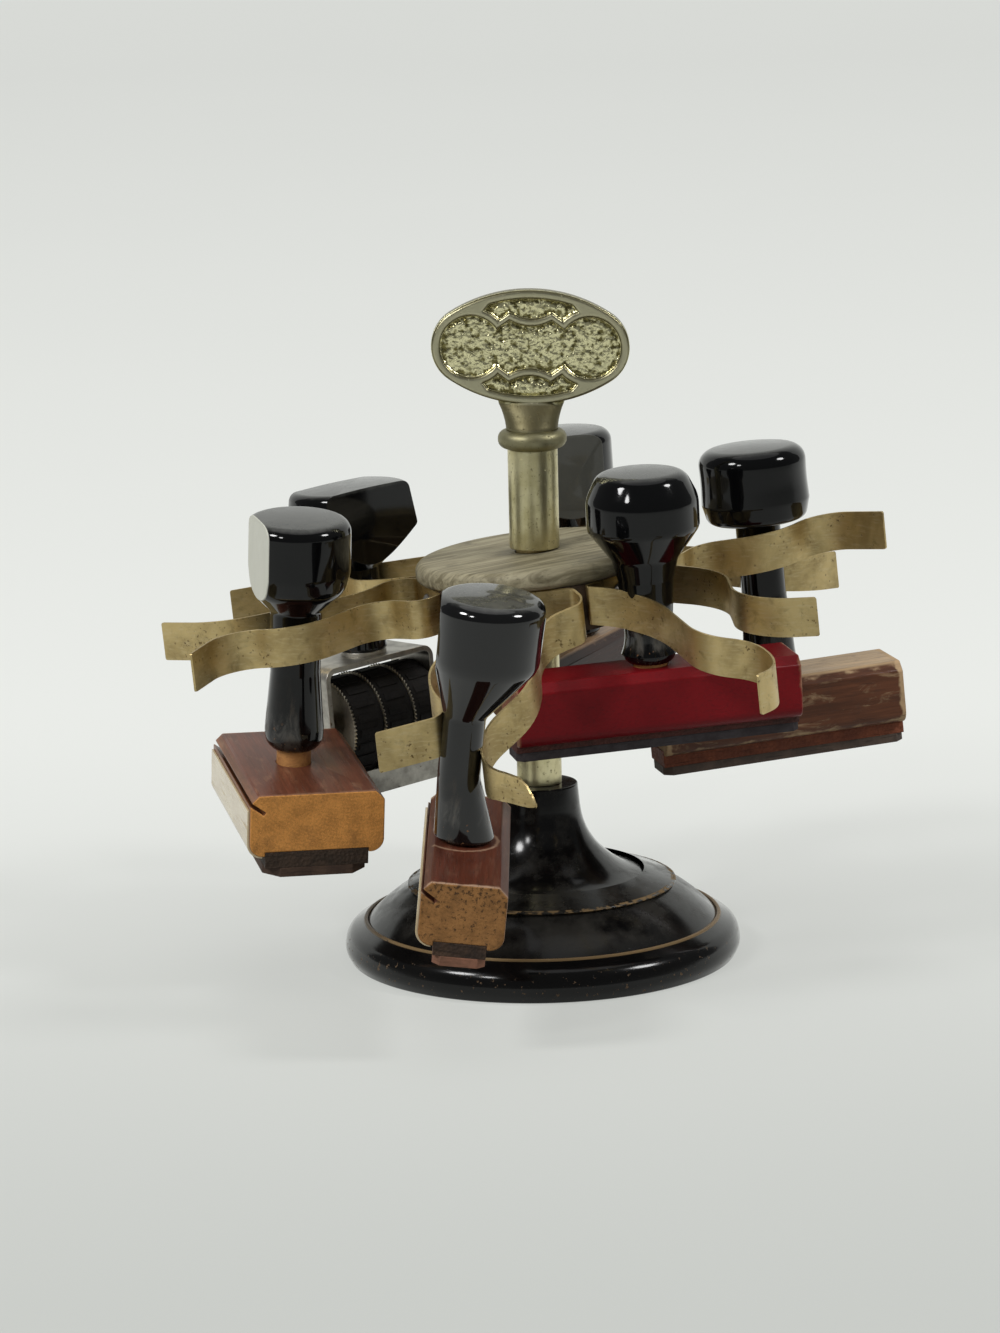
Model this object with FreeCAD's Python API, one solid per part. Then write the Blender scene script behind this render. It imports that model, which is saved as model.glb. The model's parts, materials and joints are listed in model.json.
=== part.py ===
import FreeCAD, Part
import math
import os

from FreeCAD import Placement, Rotation, Vector

os.makedirs("parts", exist_ok=True)

# Desk carousel for rubber stamps. A cast base carries a rod, a wooden hub turns on the rod, and six
# spring clips on the hub hold stamps by the necks of their handles. Lengths are in millimetres. The
# origin is the centre of the base's underside, +Z is up and -Y is the side that the desk user sees.

# Names used all through
overrun = 1.0            # how far every cutting tool passes the face that it cuts
run_gap = 0.05           # radial clearance of a turning fit
rod_hole_gap = 0.15      # radial clearance of a part that is only threaded over the rod
full_turn = 360.0
leg_share = 0.5          # share of a leg that the bend at each of its ends may take
widest_chamfer = 4.2
smallest_edge = 1e-4
x_axis = Vector(1, 0, 0)
y_axis = Vector(0, 1, 0)
z_axis = Vector(0, 0, 1)

# Base casting, japanned iron, hollow underneath
base_radius = 54.0
foot_inset = 1.6
base_foot_radius = base_radius - foot_inset
base_rim_height = 6.0
base_rim_round = 4.6
step_inset = 6.0
step_radius = base_radius - step_inset
step_height = 10.4
bead_radius = 0.55
dome_inset = 18.0
dome_radius = base_radius - dome_inset
dome_height = 20.0
dome_lip_fall = 1.33
shoulder_radius = 24.3
shoulder_height = 23.4
neck_foot_radius = 22.0
neck_waist_radius = 11.6
neck_waist_height = 33.0
neck_radius = 10.3
neck_top = 47.4
base_wall = 4.0
boss_radius = 10.5
boss_bottom = 11.0

# Rod that ties base, sleeve and key head together
rod_radius = 3.175
rod_bottom = 3.0
washer_radius = 8.5
washer_thickness = 1.4
nut_flats = 11.1
nut_sides = 6
nut_height = 5.6

# Sleeve under the hub and its thrust washer
sleeve_radius = 6.05
sleeve_wall = 1.1
thrust_radius = 7.6
thrust_thickness = 1.2
thrust_gap = 0.2

# Hub: a turned disc over a drum that has a flat seat for each clip
hub_tilt = -5.0          # degrees about Y; the hub sits low on its left side
strip_top_height = 106.0
disc_radius = 32.0
disc_thickness = 5.4
disc_edge_radius = 2.5
drum_radius = 31.0
drum_height = 12.4
seat_radius = 29.4
bush_radius = 4.9
bush_below = 0.8
bush_top_gap = 0.15

# Stem and key head, the carrying handle
stem_gap = 0.75
stem_length = 27.05
stem_bottom = strip_top_height + disc_thickness + stem_gap
stem_top = stem_bottom + stem_length
stem_radius = 6.7
collar_radius = 9.2
collar_height = 5.0
key_neck_radius = 6.5
key_neck_height = 8.2
key_neck_top = stem_top + collar_height + key_neck_height
key_neck_half_width = 8.8
key_neck_waist_share = 0.45
key_neck_waist_shares = (1.04, 0.8)
key_neck_depth_share = 0.46
key_centre_rise = 14.0
key_centre_height = key_neck_top + key_centre_rise
key_tilt = 2.0           # degrees; the oval leans a little to the right
key_half_width = 26.4
key_half_height = 15.3
key_end_radius = 10.6
key_thickness = 5.6
key_rim = 1.6
key_wall = 1.2
key_pocket_depth = 0.9
key_panel_half_width = 5.6
key_panel_half_height = 7.4
key_panel_dip = 1.6
key_link_half_height = 4.6
key_link_overlap_share = 0.75
key_crescent_half_width = 13.0
key_socket_depth = 9.0

# Spring clips, brass strip on edge
strip_thickness = 0.6
strip_height = 10.3
clip_reach = 66.0
clip_spread = 20.0
clip_root = 14.0
root_flat = 11.4
tip_round = 2.4
tip_round_steps = 3
screw_head_radius = 3.1
screw_head_height = 1.7
screw_crown_share = 0.62
screw_shank_radius = 1.3
screw_length = 9.0

# Each clip: bearing in degrees from the front, to the right, and for each arm its fall in degrees
# and its bend points as shares of clip_reach and clip_spread. Looking outward, left is +v.
plain_arm = ((0.02, 0.64), (0.20, 0.88), (0.33, 0.83), (0.55, 0.33), (0.70, 0.38), (0.92, 1.00))
clips = {
    "front_left": {
        "bearing": -76.0,
        "left": (3.0, ((0.02, 0.63), (0.10, 0.86), (0.24, 0.16), (0.60, 1.01), (0.85, 0.14), (1.05, 1.15))),
        "right": (3.0, ((0.02, 0.63), (0.10, 0.94), (0.26, 0.42), (0.50, 0.455), (0.84, 0.42), (1.04, 1.25))),
    },
    "front": {
        "bearing": -8.0,
        "left": (31.0, ((0.01, 0.63), (0.08, 0.79), (0.20, 0.40), (0.41, 0.48), (0.68, -0.22), (0.88, -0.13),
                        (1.00, 0.45))),
        "right": (22.0, ((0.01, 0.63), (0.09, 0.91), (0.21, 0.56), (0.44, 1.12), (0.59, 1.06), (0.75, 0.62),
                         (0.84, 1.60))),
    },
    "front_right": {
        "bearing": 48.0,
        "left": (7.0, ((0.01, 0.63), (0.19, 0.95), (0.32, 0.90), (0.55, 0.31), (0.70, 0.31), (0.82, 0.75))),
        "right": (13.0, ((0.02, 0.73), (0.09, 0.45), (0.27, 0.40), (0.62, 1.01), (0.80, 0.61), (0.96, 0.92),
                         (1.03, 1.12), (0.95, 1.24))),
    },
    "right": {
        "bearing": 104.0,
        "left": (10.5, ((0.01, 0.66), (0.20, 0.86), (0.33, 0.83), (0.57, 0.31), (0.75, 0.46), (0.90, 0.86))),
        "right": (-5.0, ((0.01, 0.71), (0.10, 0.70), (0.22, 0.29), (0.51, 0.83), (0.75, 0.14), (0.94, 1.10))),
    },
    "rear": {"bearing": 172.0, "left": (3.0, plain_arm), "right": (3.0, plain_arm)},
    "rear_left": {
        "bearing": -131.0,
        "left": (4.0, ((0.02, 0.64), (0.20, 0.88), (0.33, 0.83), (0.55, 0.33), (0.70, 0.42), (0.93, 1.28))),
        "right": (4.0, plain_arm),
    },
}

# Turned handles. The table holds shares: a neck's of handle_neck_radius, a foot's of handle_foot_radius,
# and each point of a knob's outline, lowest first, as (radius, height above the clip, rounding), of
# knob_radius, knob_height and knob_radius.
handle_neck_radius = 6.2
handle_foot_radius = 7.4
knob_radius = 14.5
knob_height = 28.0
handle_neck_below = 16.0
neck_rounding = 12.0
handle_shares = {
    "label_knob": {"neck": 1.13, "foot": 1.07, "knob": ((0.48, 0.043, 0), (0.90, 0.25, 0.48),
                                                        (0.985, 0.43, 0.48), (0.985, 0.94, 0.235))},
    "side_knob": {"neck": 0.82, "foot": 1.07, "knob": ((1.0, 0.554, 0), (1.0, 1.143, 0.25))},
    "mushroom": {"neck": 1.0, "foot": 0.96, "knob": ((0.43, 0.029, 0), (0.54, 0.214, 0.62),
                                                     (1.03, 0.557, 0.55), (0.965, 0.857, 0.41),
                                                     (0.655, 1.046, 0.345))},
    "drum": {"neck": 0.98, "foot": 1.0, "knob": ((0.42, 0.114, 0), (0.924, 0.154, 0.18), (1.02, 0.34, 0),
                                                 (0.96, 0.554, 1.65), (1.014, 0.864, 0.25))},
    "rear_knob": {"neck": 0.98, "foot": 1.0, "knob": ((0.42, 0.029, 0), (0.91, 0.236, 0.48),
                                                      (0.98, 0.43, 0.48), (0.98, 1.014, 0.235))},
    "oblong": {"neck": 1.015, "foot": 0.93, "knob": ((0.43, 0.014, 0), (0.655, 0.107, 0), (1.297, 0.379, 0.1),
                                                     (1.16, 0.829, 0.18))},
}
crown_rise = 0.6
foot_rounding = 0.9
peg_radius = 4.6
peg_sink = 9.0
side_knob_shift = 3.5    # the front stamp's knob is turned off the axis of its neck
side_knob_bottom = 4.4
oblong_thickness = 16.4

# Stamps. "stand" is where the neck stands in its clip: outward from the seat, to the left of the clip
# and above its level plane, as shares of clip_reach, clip_spread and clip_reach. "lean" tips the top to
# the right and to the front, and "heading" turns the block's long side from the right towards the rear,
# in degrees. The other entries are shares: "drop", from the stand down to the block's top, of
# stamp_drop, "wood" of block_length, block_width and block_height, "pads", the cushion and the die, of
# pad_thickness, "aside", how far the block's middle lies left of the handle, of block_width, and
# "peg_show" of peg_gap. A "flat" is the bearing of a face cut on the knob and its share of knob_radius.
stamp_drop = 38.0
block_length = 70.0
block_width = 22.0
block_height = 17.0
pad_thickness = 3.0
peg_gap = 0.6
stamp_shares = {
    "front_left": {"handle": "label_knob", "stand": (0.556, 0.018, -0.029), "lean": (3.0, 5.5),
                   "heading": 104.0, "drop": 1.09, "wood": (0.77, 1.645, 1.0), "pads": (1.47, 0.87),
                   "aside": -0.055, "flat": (90.0, 0.76), "label": True, "peg_show": 6.0},
    "front": {"handle": "side_knob", "stand": (0.736, -0.40, -0.327), "lean": (6.5, 5.5), "heading": 90.0,
              "drop": 0.868, "wood": (1.0, 0.99, 0.99), "pads": (1.2, 0.87), "aside": -0.09,
              "flat": (90.0, 0.62), "label": True, "peg_show": 1.0},
    "front_right": {"handle": "mushroom", "stand": (0.167, -0.072, -0.018), "lean": (-2.0, 2.0),
                    "heading": 13.0, "drop": 0.584, "wood": (1.1, 0.91, 1.0), "pads": (1.0, 0.8),
                    "aside": 0.0, "flat": None, "label": False, "peg_show": 1.0},
    "right": {"handle": "drum", "stand": (0.507, -0.015, 0.002), "lean": (-4.5, 0.0), "heading": 13.0,
              "drop": 1.005, "wood": (0.97, 1.03, 1.01), "pads": (1.53, 0.8), "aside": 0.0,
              "flat": None, "label": False, "peg_show": 1.0},
    "rear": {"handle": "rear_knob", "stand": (0.545, -0.005, -0.029), "lean": (-3.0, 0.0), "heading": 65.0,
             "drop": 0.79, "wood": (1.0, 1.0, 0.97), "pads": (1.2, 0.8), "aside": 0.0,
             "flat": (-140.0, 0.772), "label": False, "peg_show": 1.0},
    "rear_left": {"handle": "oblong", "stand": (0.561, 0.0, -0.038), "lean": (-3.5, 0.0), "heading": 42.0,
                  "drop": 0.632, "flat": None, "label": False, "peg_show": 2.0},
}

# Stamp blocks and index strips
block_chamfer = 2.4
block_corner_radius = 3.6
kerf_width = 0.9
kerf_depth = 3.0
kerf_angle = 35.0
recess_depth = 1.2
recess_margin = 4.2
index_strip_thickness = 0.6
index_strip_length_share = 0.97
die_corner_share = 0.15

# Band dater under the rear left handle
dater_width = 39.0
dater_aside = -1.5       # the yoke's middle lies left of the handle
dater_depth = 17.0
dater_sheet = 1.5
dater_bend_radius = 3.4
dater_cheek_height = 31.0
axle_radius = 1.6
axle_head_radius = 2.6
axle_head_height = 0.9
axle_spacer_radius = 3.4
axle_spacer_length = 3.0
axle_drop = 17.5
wheel_count = 3
wheel_drum_radius = 10.4
wheel_flange_radius = 13.4
wheel_flange_thickness = 1.1
wheel_side_gap = 0.3
knurl_count = 24
knurl_depth = 0.6
band_thickness = 1.2
band_gap = 0.3
band_nose_radius = 3.2
band_drop = 17.5
foot_height = 7.0
foot_wall = 1.6
foot_corner_radius = 1.6
nose_web_thickness = 3.8
nose_web_gap = 0.4
stud_radius = 2.4
stud_collar_radius = 6.4


# Shapes used by several pieces

def bend(before, corner, after, radius=None):
    """Start, middle, end and centre of the arc that rounds a corner. Without a radius the arc is the
    largest that leaves each leg its share for the next corner."""
    toward = before - corner
    onward = after - corner
    reach = min(toward.Length, onward.Length) * leg_share
    toward.normalize()
    onward.normalize()
    half_turn = math.acos(max(-1.0, min(1.0, -toward.dot(onward)))) / 2
    if radius is None:
        radius = reach / math.tan(half_turn)
    tangent = radius * math.tan(half_turn)
    inward = toward + onward
    inward.normalize()
    centre = corner + inward * (radius / math.cos(half_turn))
    return corner + toward * tangent, centre - inward * radius, corner + onward * tangent, centre


def rounded_wire(corners):
    """Closed wire through (point, radius) corners, each rounded with its own radius."""
    ends, edges = [], []
    count = len(corners)
    for i, (point, radius) in enumerate(corners):
        if radius:
            start, middle, end, _ = bend(corners[i - 1][0], point, corners[(i + 1) % count][0], radius)
            edges.append(Part.Arc(start, middle, end).toShape())
            ends.append((start, end))
        else:
            ends.append((point, point))
    for i, (_, end) in enumerate(ends):
        following = ends[(i + 1) % count][0]
        if (following - end).Length > smallest_edge:
            edges.append(Part.LineSegment(end, following).toShape())
    return Part.Wire(Part.__sortEdges__(edges))


def turned(profile):
    """A solid turned about Z from (radius, height, rounding) points that start and end on the axis. A
    rounded corner is turned as a chamfer, or as two flats through its arc's middle where it is wide."""
    points = [Vector(r, 0, z) for r, z, _ in profile]
    ring = []
    for i, (_, _, rounding) in enumerate(profile):
        if rounding:
            start, middle, end, _ = bend(points[i - 1], points[i], points[(i + 1) % len(points)], rounding)
            ring += [start, middle, end] if (end - start).Length > widest_chamfer else [start, end]
        else:
            ring.append(points[i])
    return Part.Face(Part.makePolygon(ring + ring[:1])).revolve(Vector(0, 0, 0), z_axis, full_turn)


def cylinder(radius, bottom, top, centre_x=0):
    return Part.makeCylinder(radius, top - bottom, Vector(centre_x, 0, bottom))


def cross_cylinder(radius, start, end, height):
    """Cylinder along X at the given height."""
    return Part.makeCylinder(radius, end - start, Vector(start, 0, height), Vector(1, 0, 0))


def tube(outer, inner, bottom, top):
    return cylinder(outer, bottom, top).cut(cylinder(inner, bottom - overrun, top + overrun))


def box(length, depth, bottom, top, centre_x=0, centre_y=0):
    corner = Vector(centre_x - length / 2, centre_y - depth / 2, bottom)
    return Part.makeBox(length, depth, top - bottom, corner)


def moved(shape, placement):
    result = shape.copy()
    result.Placement = placement.multiply(result.Placement)
    return result


def shift(x=0, y=0, z=0):
    return Placement(Vector(x, y, z), Rotation())


def turn(axis, degrees):
    return Placement(Vector(0, 0, 0), Rotation(axis, degrees))


def save(name, shape):
    shape.exportStep(os.path.join("parts", name + ".step"))
    print(name, "solids", len(shape.Solids), "volume", round(shape.Volume, 1))


# Base casting and its fastening

def bead(radius, height):
    """Corners of one thin raised bead on the casting, from its outer to its inner side."""
    return [(radius + bead_radius, height, 0), (radius + bead_radius / 2, height + bead_radius, 0),
            (radius - bead_radius / 2, height + bead_radius, 0), (radius - bead_radius, height, 0)]


def base_casting():
    """Bell foot with a stepped rim, a domed shoulder and two thin beads, cored out from below."""
    body = turned([
        (0, 0, 0),
        (base_foot_radius, 0, 0),
        (base_radius, base_rim_height / 2, base_rim_round),
        (base_radius - foot_inset / 2, base_rim_height + foot_inset, base_rim_round),
        *bead(step_radius, step_height),
        (dome_radius + base_wall, dome_height - dome_lip_fall, base_radius),
        *bead(dome_radius, dome_height),
        (shoulder_radius, shoulder_height, 0),
        (neck_foot_radius, shoulder_height + bead_radius, 0),
        (neck_waist_radius, neck_waist_height, neck_foot_radius),
        (neck_radius, neck_top, 0),
        (0, neck_top, 0),
    ])
    core = turned([
        (0, -overrun, 0),
        (base_foot_radius - base_wall, -overrun, 0),
        (base_foot_radius - base_wall, base_rim_height, 0),
        (step_radius - base_wall, step_height, 0),
        (dome_radius, dome_height - base_wall, 0),
        (neck_foot_radius, shoulder_height - base_wall, 0),
        (0, shoulder_height - base_wall, 0),
    ])
    boss = cylinder(boss_radius, boss_bottom, shoulder_height)
    return body.cut(core).fuse(boss).removeSplitter().cut(
        cylinder(rod_radius + rod_hole_gap, 0, neck_top + overrun))


washer_bottom = boss_bottom - washer_thickness
nut_bottom = washer_bottom - nut_height


def hex_nut():
    """Hexagon nut with its lower corners chamfered."""
    corner = nut_flats / 2 / math.cos(math.pi / nut_sides)
    angles = [2 * math.pi * i / nut_sides for i in range(nut_sides + 1)]
    ring = [Vector(corner * math.cos(a), corner * math.sin(a), nut_bottom) for a in angles]
    prism = Part.Face(Part.makePolygon(ring)).extrude(Vector(0, 0, nut_height))
    cone = Part.makeCone(nut_flats / 2, nut_flats / 2 + nut_height, nut_height, Vector(0, 0, nut_bottom))
    return prism.common(cone).cut(cylinder(rod_radius, nut_bottom - overrun, washer_bottom + overrun))


# Hub frame: the tilted rotor, with its level plane at the top edge of the clips
hub_frame = Placement(Vector(0, 0, strip_top_height), Rotation(y_axis, hub_tilt))
bush_bottom = strip_top_height - drum_height - bush_below
bush_top = stem_bottom - bush_top_gap
sleeve_top = bush_bottom - thrust_gap - thrust_thickness


def hub_bore():
    """The bore follows the rod, so it is cut upright through the tilted wood."""
    return cylinder(bush_radius, rod_bottom, key_centre_height)


def hub_disc():
    under_edge = disc_edge_radius / 2
    disc = turned([(0, 0, 0), (disc_radius - under_edge, 0, 0), (disc_radius, under_edge, 0),
                   (disc_radius, disc_thickness, disc_edge_radius), (0, disc_thickness, 0)])
    return moved(disc, hub_frame).cut(hub_bore())


def clip_frame(bearing):
    """u points outward from the seat, v to the left seen outward, w up from the strip's top edge."""
    return hub_frame.multiply(turn(z_axis, bearing - 90)).multiply(shift(x=seat_radius))


def hub_drum():
    drum = moved(cylinder(drum_radius, -drum_height, 0), hub_frame)
    for row in clips.values():
        slab = box(drum_radius, 2 * drum_radius, -drum_height - overrun, overrun, centre_x=drum_radius / 2)
        drum = drum.cut(moved(slab.fuse(screw_shank()), clip_frame(row["bearing"])))
    return drum.cut(hub_bore())


def screw_shank():
    start = strip_thickness - screw_length
    return cross_cylinder(screw_shank_radius, start, strip_thickness, -strip_height / 2)


def clip_screw():
    """Round head wood screw through the middle of a clip's root."""
    crown = screw_head_radius * screw_crown_share
    head = turned([(0, 0, 0), (screw_head_radius, 0, 0), (crown, screw_head_height, 0),
                   (0, screw_head_height, 0)])
    outward = shift(x=strip_thickness, z=-strip_height / 2).multiply(turn(y_axis, 90))
    return moved(head, outward).fuse(screw_shank())


# Spring clips

def strip_outline(points, thickness):
    """Plan of a strip along bend points: both edges as lines and arcs, closed at root and tip."""
    left, right = [], []

    def add(start, end, middle=None, centre=None):
        for edges, side in ((left, 1), (right, -1)):
            if centre is None:
                along = (end - start).normalize()
                across = Vector(-along.y, along.x, 0) * (side * thickness / 2)
                edges.append(Part.LineSegment(start + across, end + across))
                continue
            turning = (middle - start).cross(end - middle).z
            grow = 1 - side * math.copysign(thickness / 2, turning) / (start - centre).Length
            edges.append(Part.Arc(*[centre + (point - centre) * grow for point in (start, middle, end)]))

    here = points[0]
    for before, corner, after in zip(points[:-2], points[1:-1], points[2:]):
        start, middle, end, centre = bend(before, corner, after)
        if (start - here).Length > smallest_edge:
            add(here, start)
        add(start, end, middle, centre)
        here = end
    add(here, points[-1])
    caps = [Part.LineSegment(left[0].StartPoint, right[0].StartPoint),
            Part.LineSegment(left[-1].EndPoint, right[-1].EndPoint)]
    return Part.Wire(Part.__sortEdges__([edge.toShape() for edge in left + right + caps]))


def tip_cutter(corner, along, slope, sign):
    """Solid that rounds one corner of a strip's end; it leans with the fall of the arm."""
    across = Vector(-along.y, along.x, 0)

    def at(s, t):
        return corner + along * s + Vector(0, 0, sign * t - slope * along.x * s) - across * strip_thickness

    ring = []
    for i in range(tip_round_steps + 1):
        angle = math.pi / 2 * i / tip_round_steps
        ring.append(at(tip_round * (math.sin(angle) - 1), tip_round * (math.cos(angle) - 1)))
    ring += [at(overrun, -tip_round), at(overrun, overrun), at(-tip_round, overrun), ring[0]]
    return Part.Face(Part.makePolygon(ring)).extrude(across * (2 * strip_thickness))


def clip_arm(side, fall, bends):
    """Half a clip: an upright band along its bend points, trimmed between two planes that fall outward."""
    middle = strip_thickness / 2
    points = [Vector(middle, side * root_flat, 0)]
    points += [Vector(middle + u * clip_reach, side * v * clip_spread, 0) for u, v in bends[1:]]
    points.insert(1, Vector(middle, side * clip_root, 0))
    depth = clip_reach
    band = Part.Face(strip_outline(points, strip_thickness)).extrude(Vector(0, 0, 2 * depth))
    band = moved(band, shift(z=-depth))
    slope = math.tan(math.radians(fall))
    reach = 2 * clip_reach
    ring = [Vector(0, -reach, 0), Vector(reach, -reach, -slope * reach),
            Vector(reach, -reach, -slope * reach - strip_height), Vector(0, -reach, -strip_height)]
    layer = Part.Face(Part.makePolygon(ring + ring[:1])).extrude(Vector(0, 2 * reach, 0))
    arm = band.common(layer)
    along = (points[-1] - points[-2]).normalize()
    end = points[-1] + Vector(0, 0, -slope * points[-1].x)
    arm = arm.cut(tip_cutter(end, along, slope, 1))
    return arm.cut(tip_cutter(end - Vector(0, 0, strip_height), along, slope, -1))


def spring_clip(row):
    clip = box(strip_thickness, 2 * root_flat, -strip_height, 0, centre_x=strip_thickness / 2)
    for side, name in ((1, "left"), (-1, "right")):
        clip = clip.fuse(clip_arm(side, *row[name]))
    hole = moved(screw_shank(), shift(x=screw_length / 2))
    return moved(clip.cut(hole), clip_frame(row["bearing"]))


# Key head and stem

def oval(half_width, half_height, end_radius):
    """Oval face on the XY plane from two end arcs and two flatter arcs, all tangent."""
    end_centre = half_width - end_radius
    flat_radius = ((end_centre ** 2 + half_height ** 2 - end_radius ** 2)
                   / (2 * (half_height - end_radius)))
    drop = flat_radius - half_height
    reach = math.hypot(end_centre, drop)
    join_x = end_centre * flat_radius / reach
    join_y = drop * flat_radius / reach - drop
    edges = []
    for side in (1, -1):
        edges.append(Part.Arc(Vector(-side * join_x, side * join_y, 0), Vector(0, side * half_height, 0),
                              Vector(side * join_x, side * join_y, 0)).toShape())
        edges.append(Part.Arc(Vector(side * join_x, join_y, 0), Vector(side * half_width, 0, 0),
                              Vector(side * join_x, -join_y, 0)).toShape())
    return Part.Face(Part.Wire(Part.__sortEdges__(edges)))


def key_panels(grow):
    """The two round lobes and the waisted middle panel of the face, widened all round by grow."""
    wide = key_panel_half_width + grow
    high = key_panel_half_height + grow
    lobe_centre = key_half_width - key_end_radius
    lobe_radius = key_end_radius - key_rim - key_wall / 2
    side = lobe_centre - lobe_radius * key_link_overlap_share
    side_high = key_link_half_height + grow
    edges = []
    for up in (1, -1):
        edges.append(Part.Arc(Vector(-wide, up * high, 0), Vector(0, up * (high - key_panel_dip), 0),
                              Vector(wide, up * high, 0)).toShape())
    for out in (1, -1):
        edges += Part.makePolygon([Vector(out * wide, high, 0), Vector(out * side, side_high, 0),
                                   Vector(out * side, -side_high, 0), Vector(out * wide, -high, 0)]).Edges
    shape = Part.Face(Part.Wire(Part.__sortEdges__(edges)))
    for out in (1, -1):
        circle = Part.Circle(Vector(out * lobe_centre, 0, 0), z_axis, lobe_radius + grow)
        shape = shape.fuse(Part.Face(Part.Wire(circle.toShape())))
    return shape.removeSplitter()


def key_bow():
    """Oval plate with a rim; walled pockets on both faces."""
    blank = oval(key_half_width, key_half_height, key_end_radius).extrude(Vector(0, 0, key_thickness))
    blank = blank.makeChamfer(key_rim / 2, [edge for edge in blank.Edges
                                            if abs(edge.Vertexes[0].Z - edge.Vertexes[-1].Z) < smallest_edge])
    inset = key_rim
    field = oval(key_half_width - inset, key_half_height - inset, key_end_radius - inset)
    middle = Part.makePlane(2 * key_crescent_half_width, 2 * key_half_height,
                            Vector(-key_crescent_half_width, -key_half_height, 0))
    lobes = field.common(key_panels(0))
    crescents = field.common(middle).cut(key_panels(key_wall))
    for face in lobes.Faces + crescents.Faces:
        for height in (-overrun, key_thickness - key_pocket_depth):
            pocket = moved(face, shift(z=height)).extrude(Vector(0, 0, key_pocket_depth + overrun))
            blank = blank.cut(pocket)
    upright = turn(x_axis, 90).multiply(shift(z=-key_thickness / 2))
    return moved(blank, shift(z=key_centre_height).multiply(turn(y_axis, key_tilt)).multiply(upright))


def ring_wire(half_x, half_y, height):
    if half_x == half_y:
        return Part.Wire(Part.Circle(Vector(0, 0, height), z_axis, half_x).toShape())
    return Part.Wire(Part.Ellipse(Vector(0, 0, height), half_x, half_y).toShape())


def key_head():
    """Cast head: round collar, neck that flares sideways and thins to the plate, and the plate."""
    collar_top = stem_top + collar_height
    waist_height = collar_top + key_neck_height * key_neck_waist_share
    waist_width, waist_depth = key_neck_waist_shares
    neck = Part.makeLoft([
        ring_wire(key_neck_radius, key_neck_radius, collar_top),
        ring_wire(key_neck_radius * waist_width, key_neck_radius * waist_depth, waist_height),
        ring_wire(key_neck_half_width, key_thickness * key_neck_depth_share, key_neck_top),
    ], True)
    collar = turned([
        (0, stem_top, 0),
        (stem_radius, stem_top, 0),
        (collar_radius, stem_top, collar_height / 2),
        (collar_radius, collar_top, collar_height / 2),
        (key_neck_radius, collar_top, 0),
        (0, collar_top, 0),
    ])
    socket = cylinder(rod_radius, stem_top - overrun, stem_top + key_socket_depth)
    return key_bow().fuse(neck).fuse(collar).removeSplitter().cut(socket)


# Stamps

def sized(shares, *sizes):
    """Shares turned into lengths, each with its own size."""
    return tuple(share * size for share, size in zip(shares, sizes))


def stamp_sizes(row):
    """One row of the stamp table in millimetres and degrees, with the outline of its handle."""
    form = handle_shares[row["handle"]]
    sizes = dict(row, neck=form["neck"] * handle_neck_radius, foot=form["foot"] * handle_foot_radius,
                 stand=sized(row["stand"], clip_reach, clip_spread, clip_reach),
                 drop=row["drop"] * stamp_drop, peg_show=row["peg_show"] * peg_gap,
                 knob=[sized(point, knob_radius, knob_height, knob_radius) for point in form["knob"]])
    if row["flat"]:
        sizes["flat"] = (row["flat"][0], row["flat"][1] * knob_radius)
    if "wood" in row:
        sizes["wood"] = sized(row["wood"], block_length, block_width, block_height)
        sizes["pads"] = sized(row["pads"], pad_thickness, pad_thickness)
        sizes["aside"] = row["aside"] * block_width
    return sizes


stamps = {name: stamp_sizes(row) for name, row in stamp_shares.items()}


def stamp_frame(name):
    """Stamp frame: z up the handle, x along the block's long side, origin where the clip grips."""
    row = stamps[name]
    to_right, to_front = row["lean"]
    rotation = Rotation(y_axis, to_right).multiply(Rotation(x_axis, to_front))
    rotation = rotation.multiply(Rotation(z_axis, row["heading"]))
    origin = clip_frame(clips[name]["bearing"]).multVec(Vector(*row["stand"]))
    return Placement(origin, rotation)


def draw_direction(name):
    """The way a stamp pulls out of its clip, along the arm that falls least."""
    row = clips[name]
    fall = min(row["left"][0], row["right"][0])
    local = Vector(1, 0, -math.tan(math.radians(fall))).normalize()
    return clip_frame(row["bearing"]).Rotation.multVec(local)


def handle(name):
    """Turned handle with its knob over the clip, its neck through it and its foot over the block."""
    row = stamps[name]
    knob = row["knob"]
    bottom = row["peg_show"] - row["drop"]
    top_radius, top = knob[-1][0], knob[-1][1]
    lower = [(0, bottom, 0), (row["foot"], bottom, foot_rounding),
             (row["neck"], -handle_neck_below, neck_rounding)]
    if row["handle"] == "side_knob":
        neck_end = [(row["neck"], side_knob_bottom, 0), (0, side_knob_bottom, 0)]
        solid = turned(lower + neck_end)
        belly_height = knob[0][1]
        belly = Part.Circle(Vector(0, -side_knob_shift, belly_height), z_axis, knob[0][0]).toShape()
        throat = Part.Circle(Vector(0, 0, side_knob_bottom), z_axis, row["neck"]).toShape()
        cone = Part.makeLoft([Part.Wire(throat), Part.Wire(belly)], True, True)
        head = turned([(0, belly_height, 0), (top_radius, belly_height, 0), knob[-1], (0, top, 0)])
        solid = solid.fuse(cone).fuse(moved(head, shift(y=-side_knob_shift)))
    else:
        solid = turned(lower + knob + [(0, top + crown_rise, 0)])
    if row["flat"]:
        angle, offset = row["flat"]
        slab = box(top_radius, 2 * top_radius, -handle_neck_below, 2 * top, centre_x=offset + top_radius / 2)
        solid = solid.cut(moved(slab, turn(z_axis, angle)))
    if row["handle"] == "oblong":
        widest = max(radius for radius, _, _ in knob)
        solid = solid.common(box(2 * widest, oblong_thickness, bottom - overrun, 2 * top))
    return moved(solid.cut(socket(name)), stamp_frame(name))


def socket(name):
    row = stamps[name]
    bottom = -row["drop"] + row["peg_show"]
    radius = peg_radius if "wood" in row else stud_radius
    return cylinder(radius, bottom - overrun, bottom + peg_sink)


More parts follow.
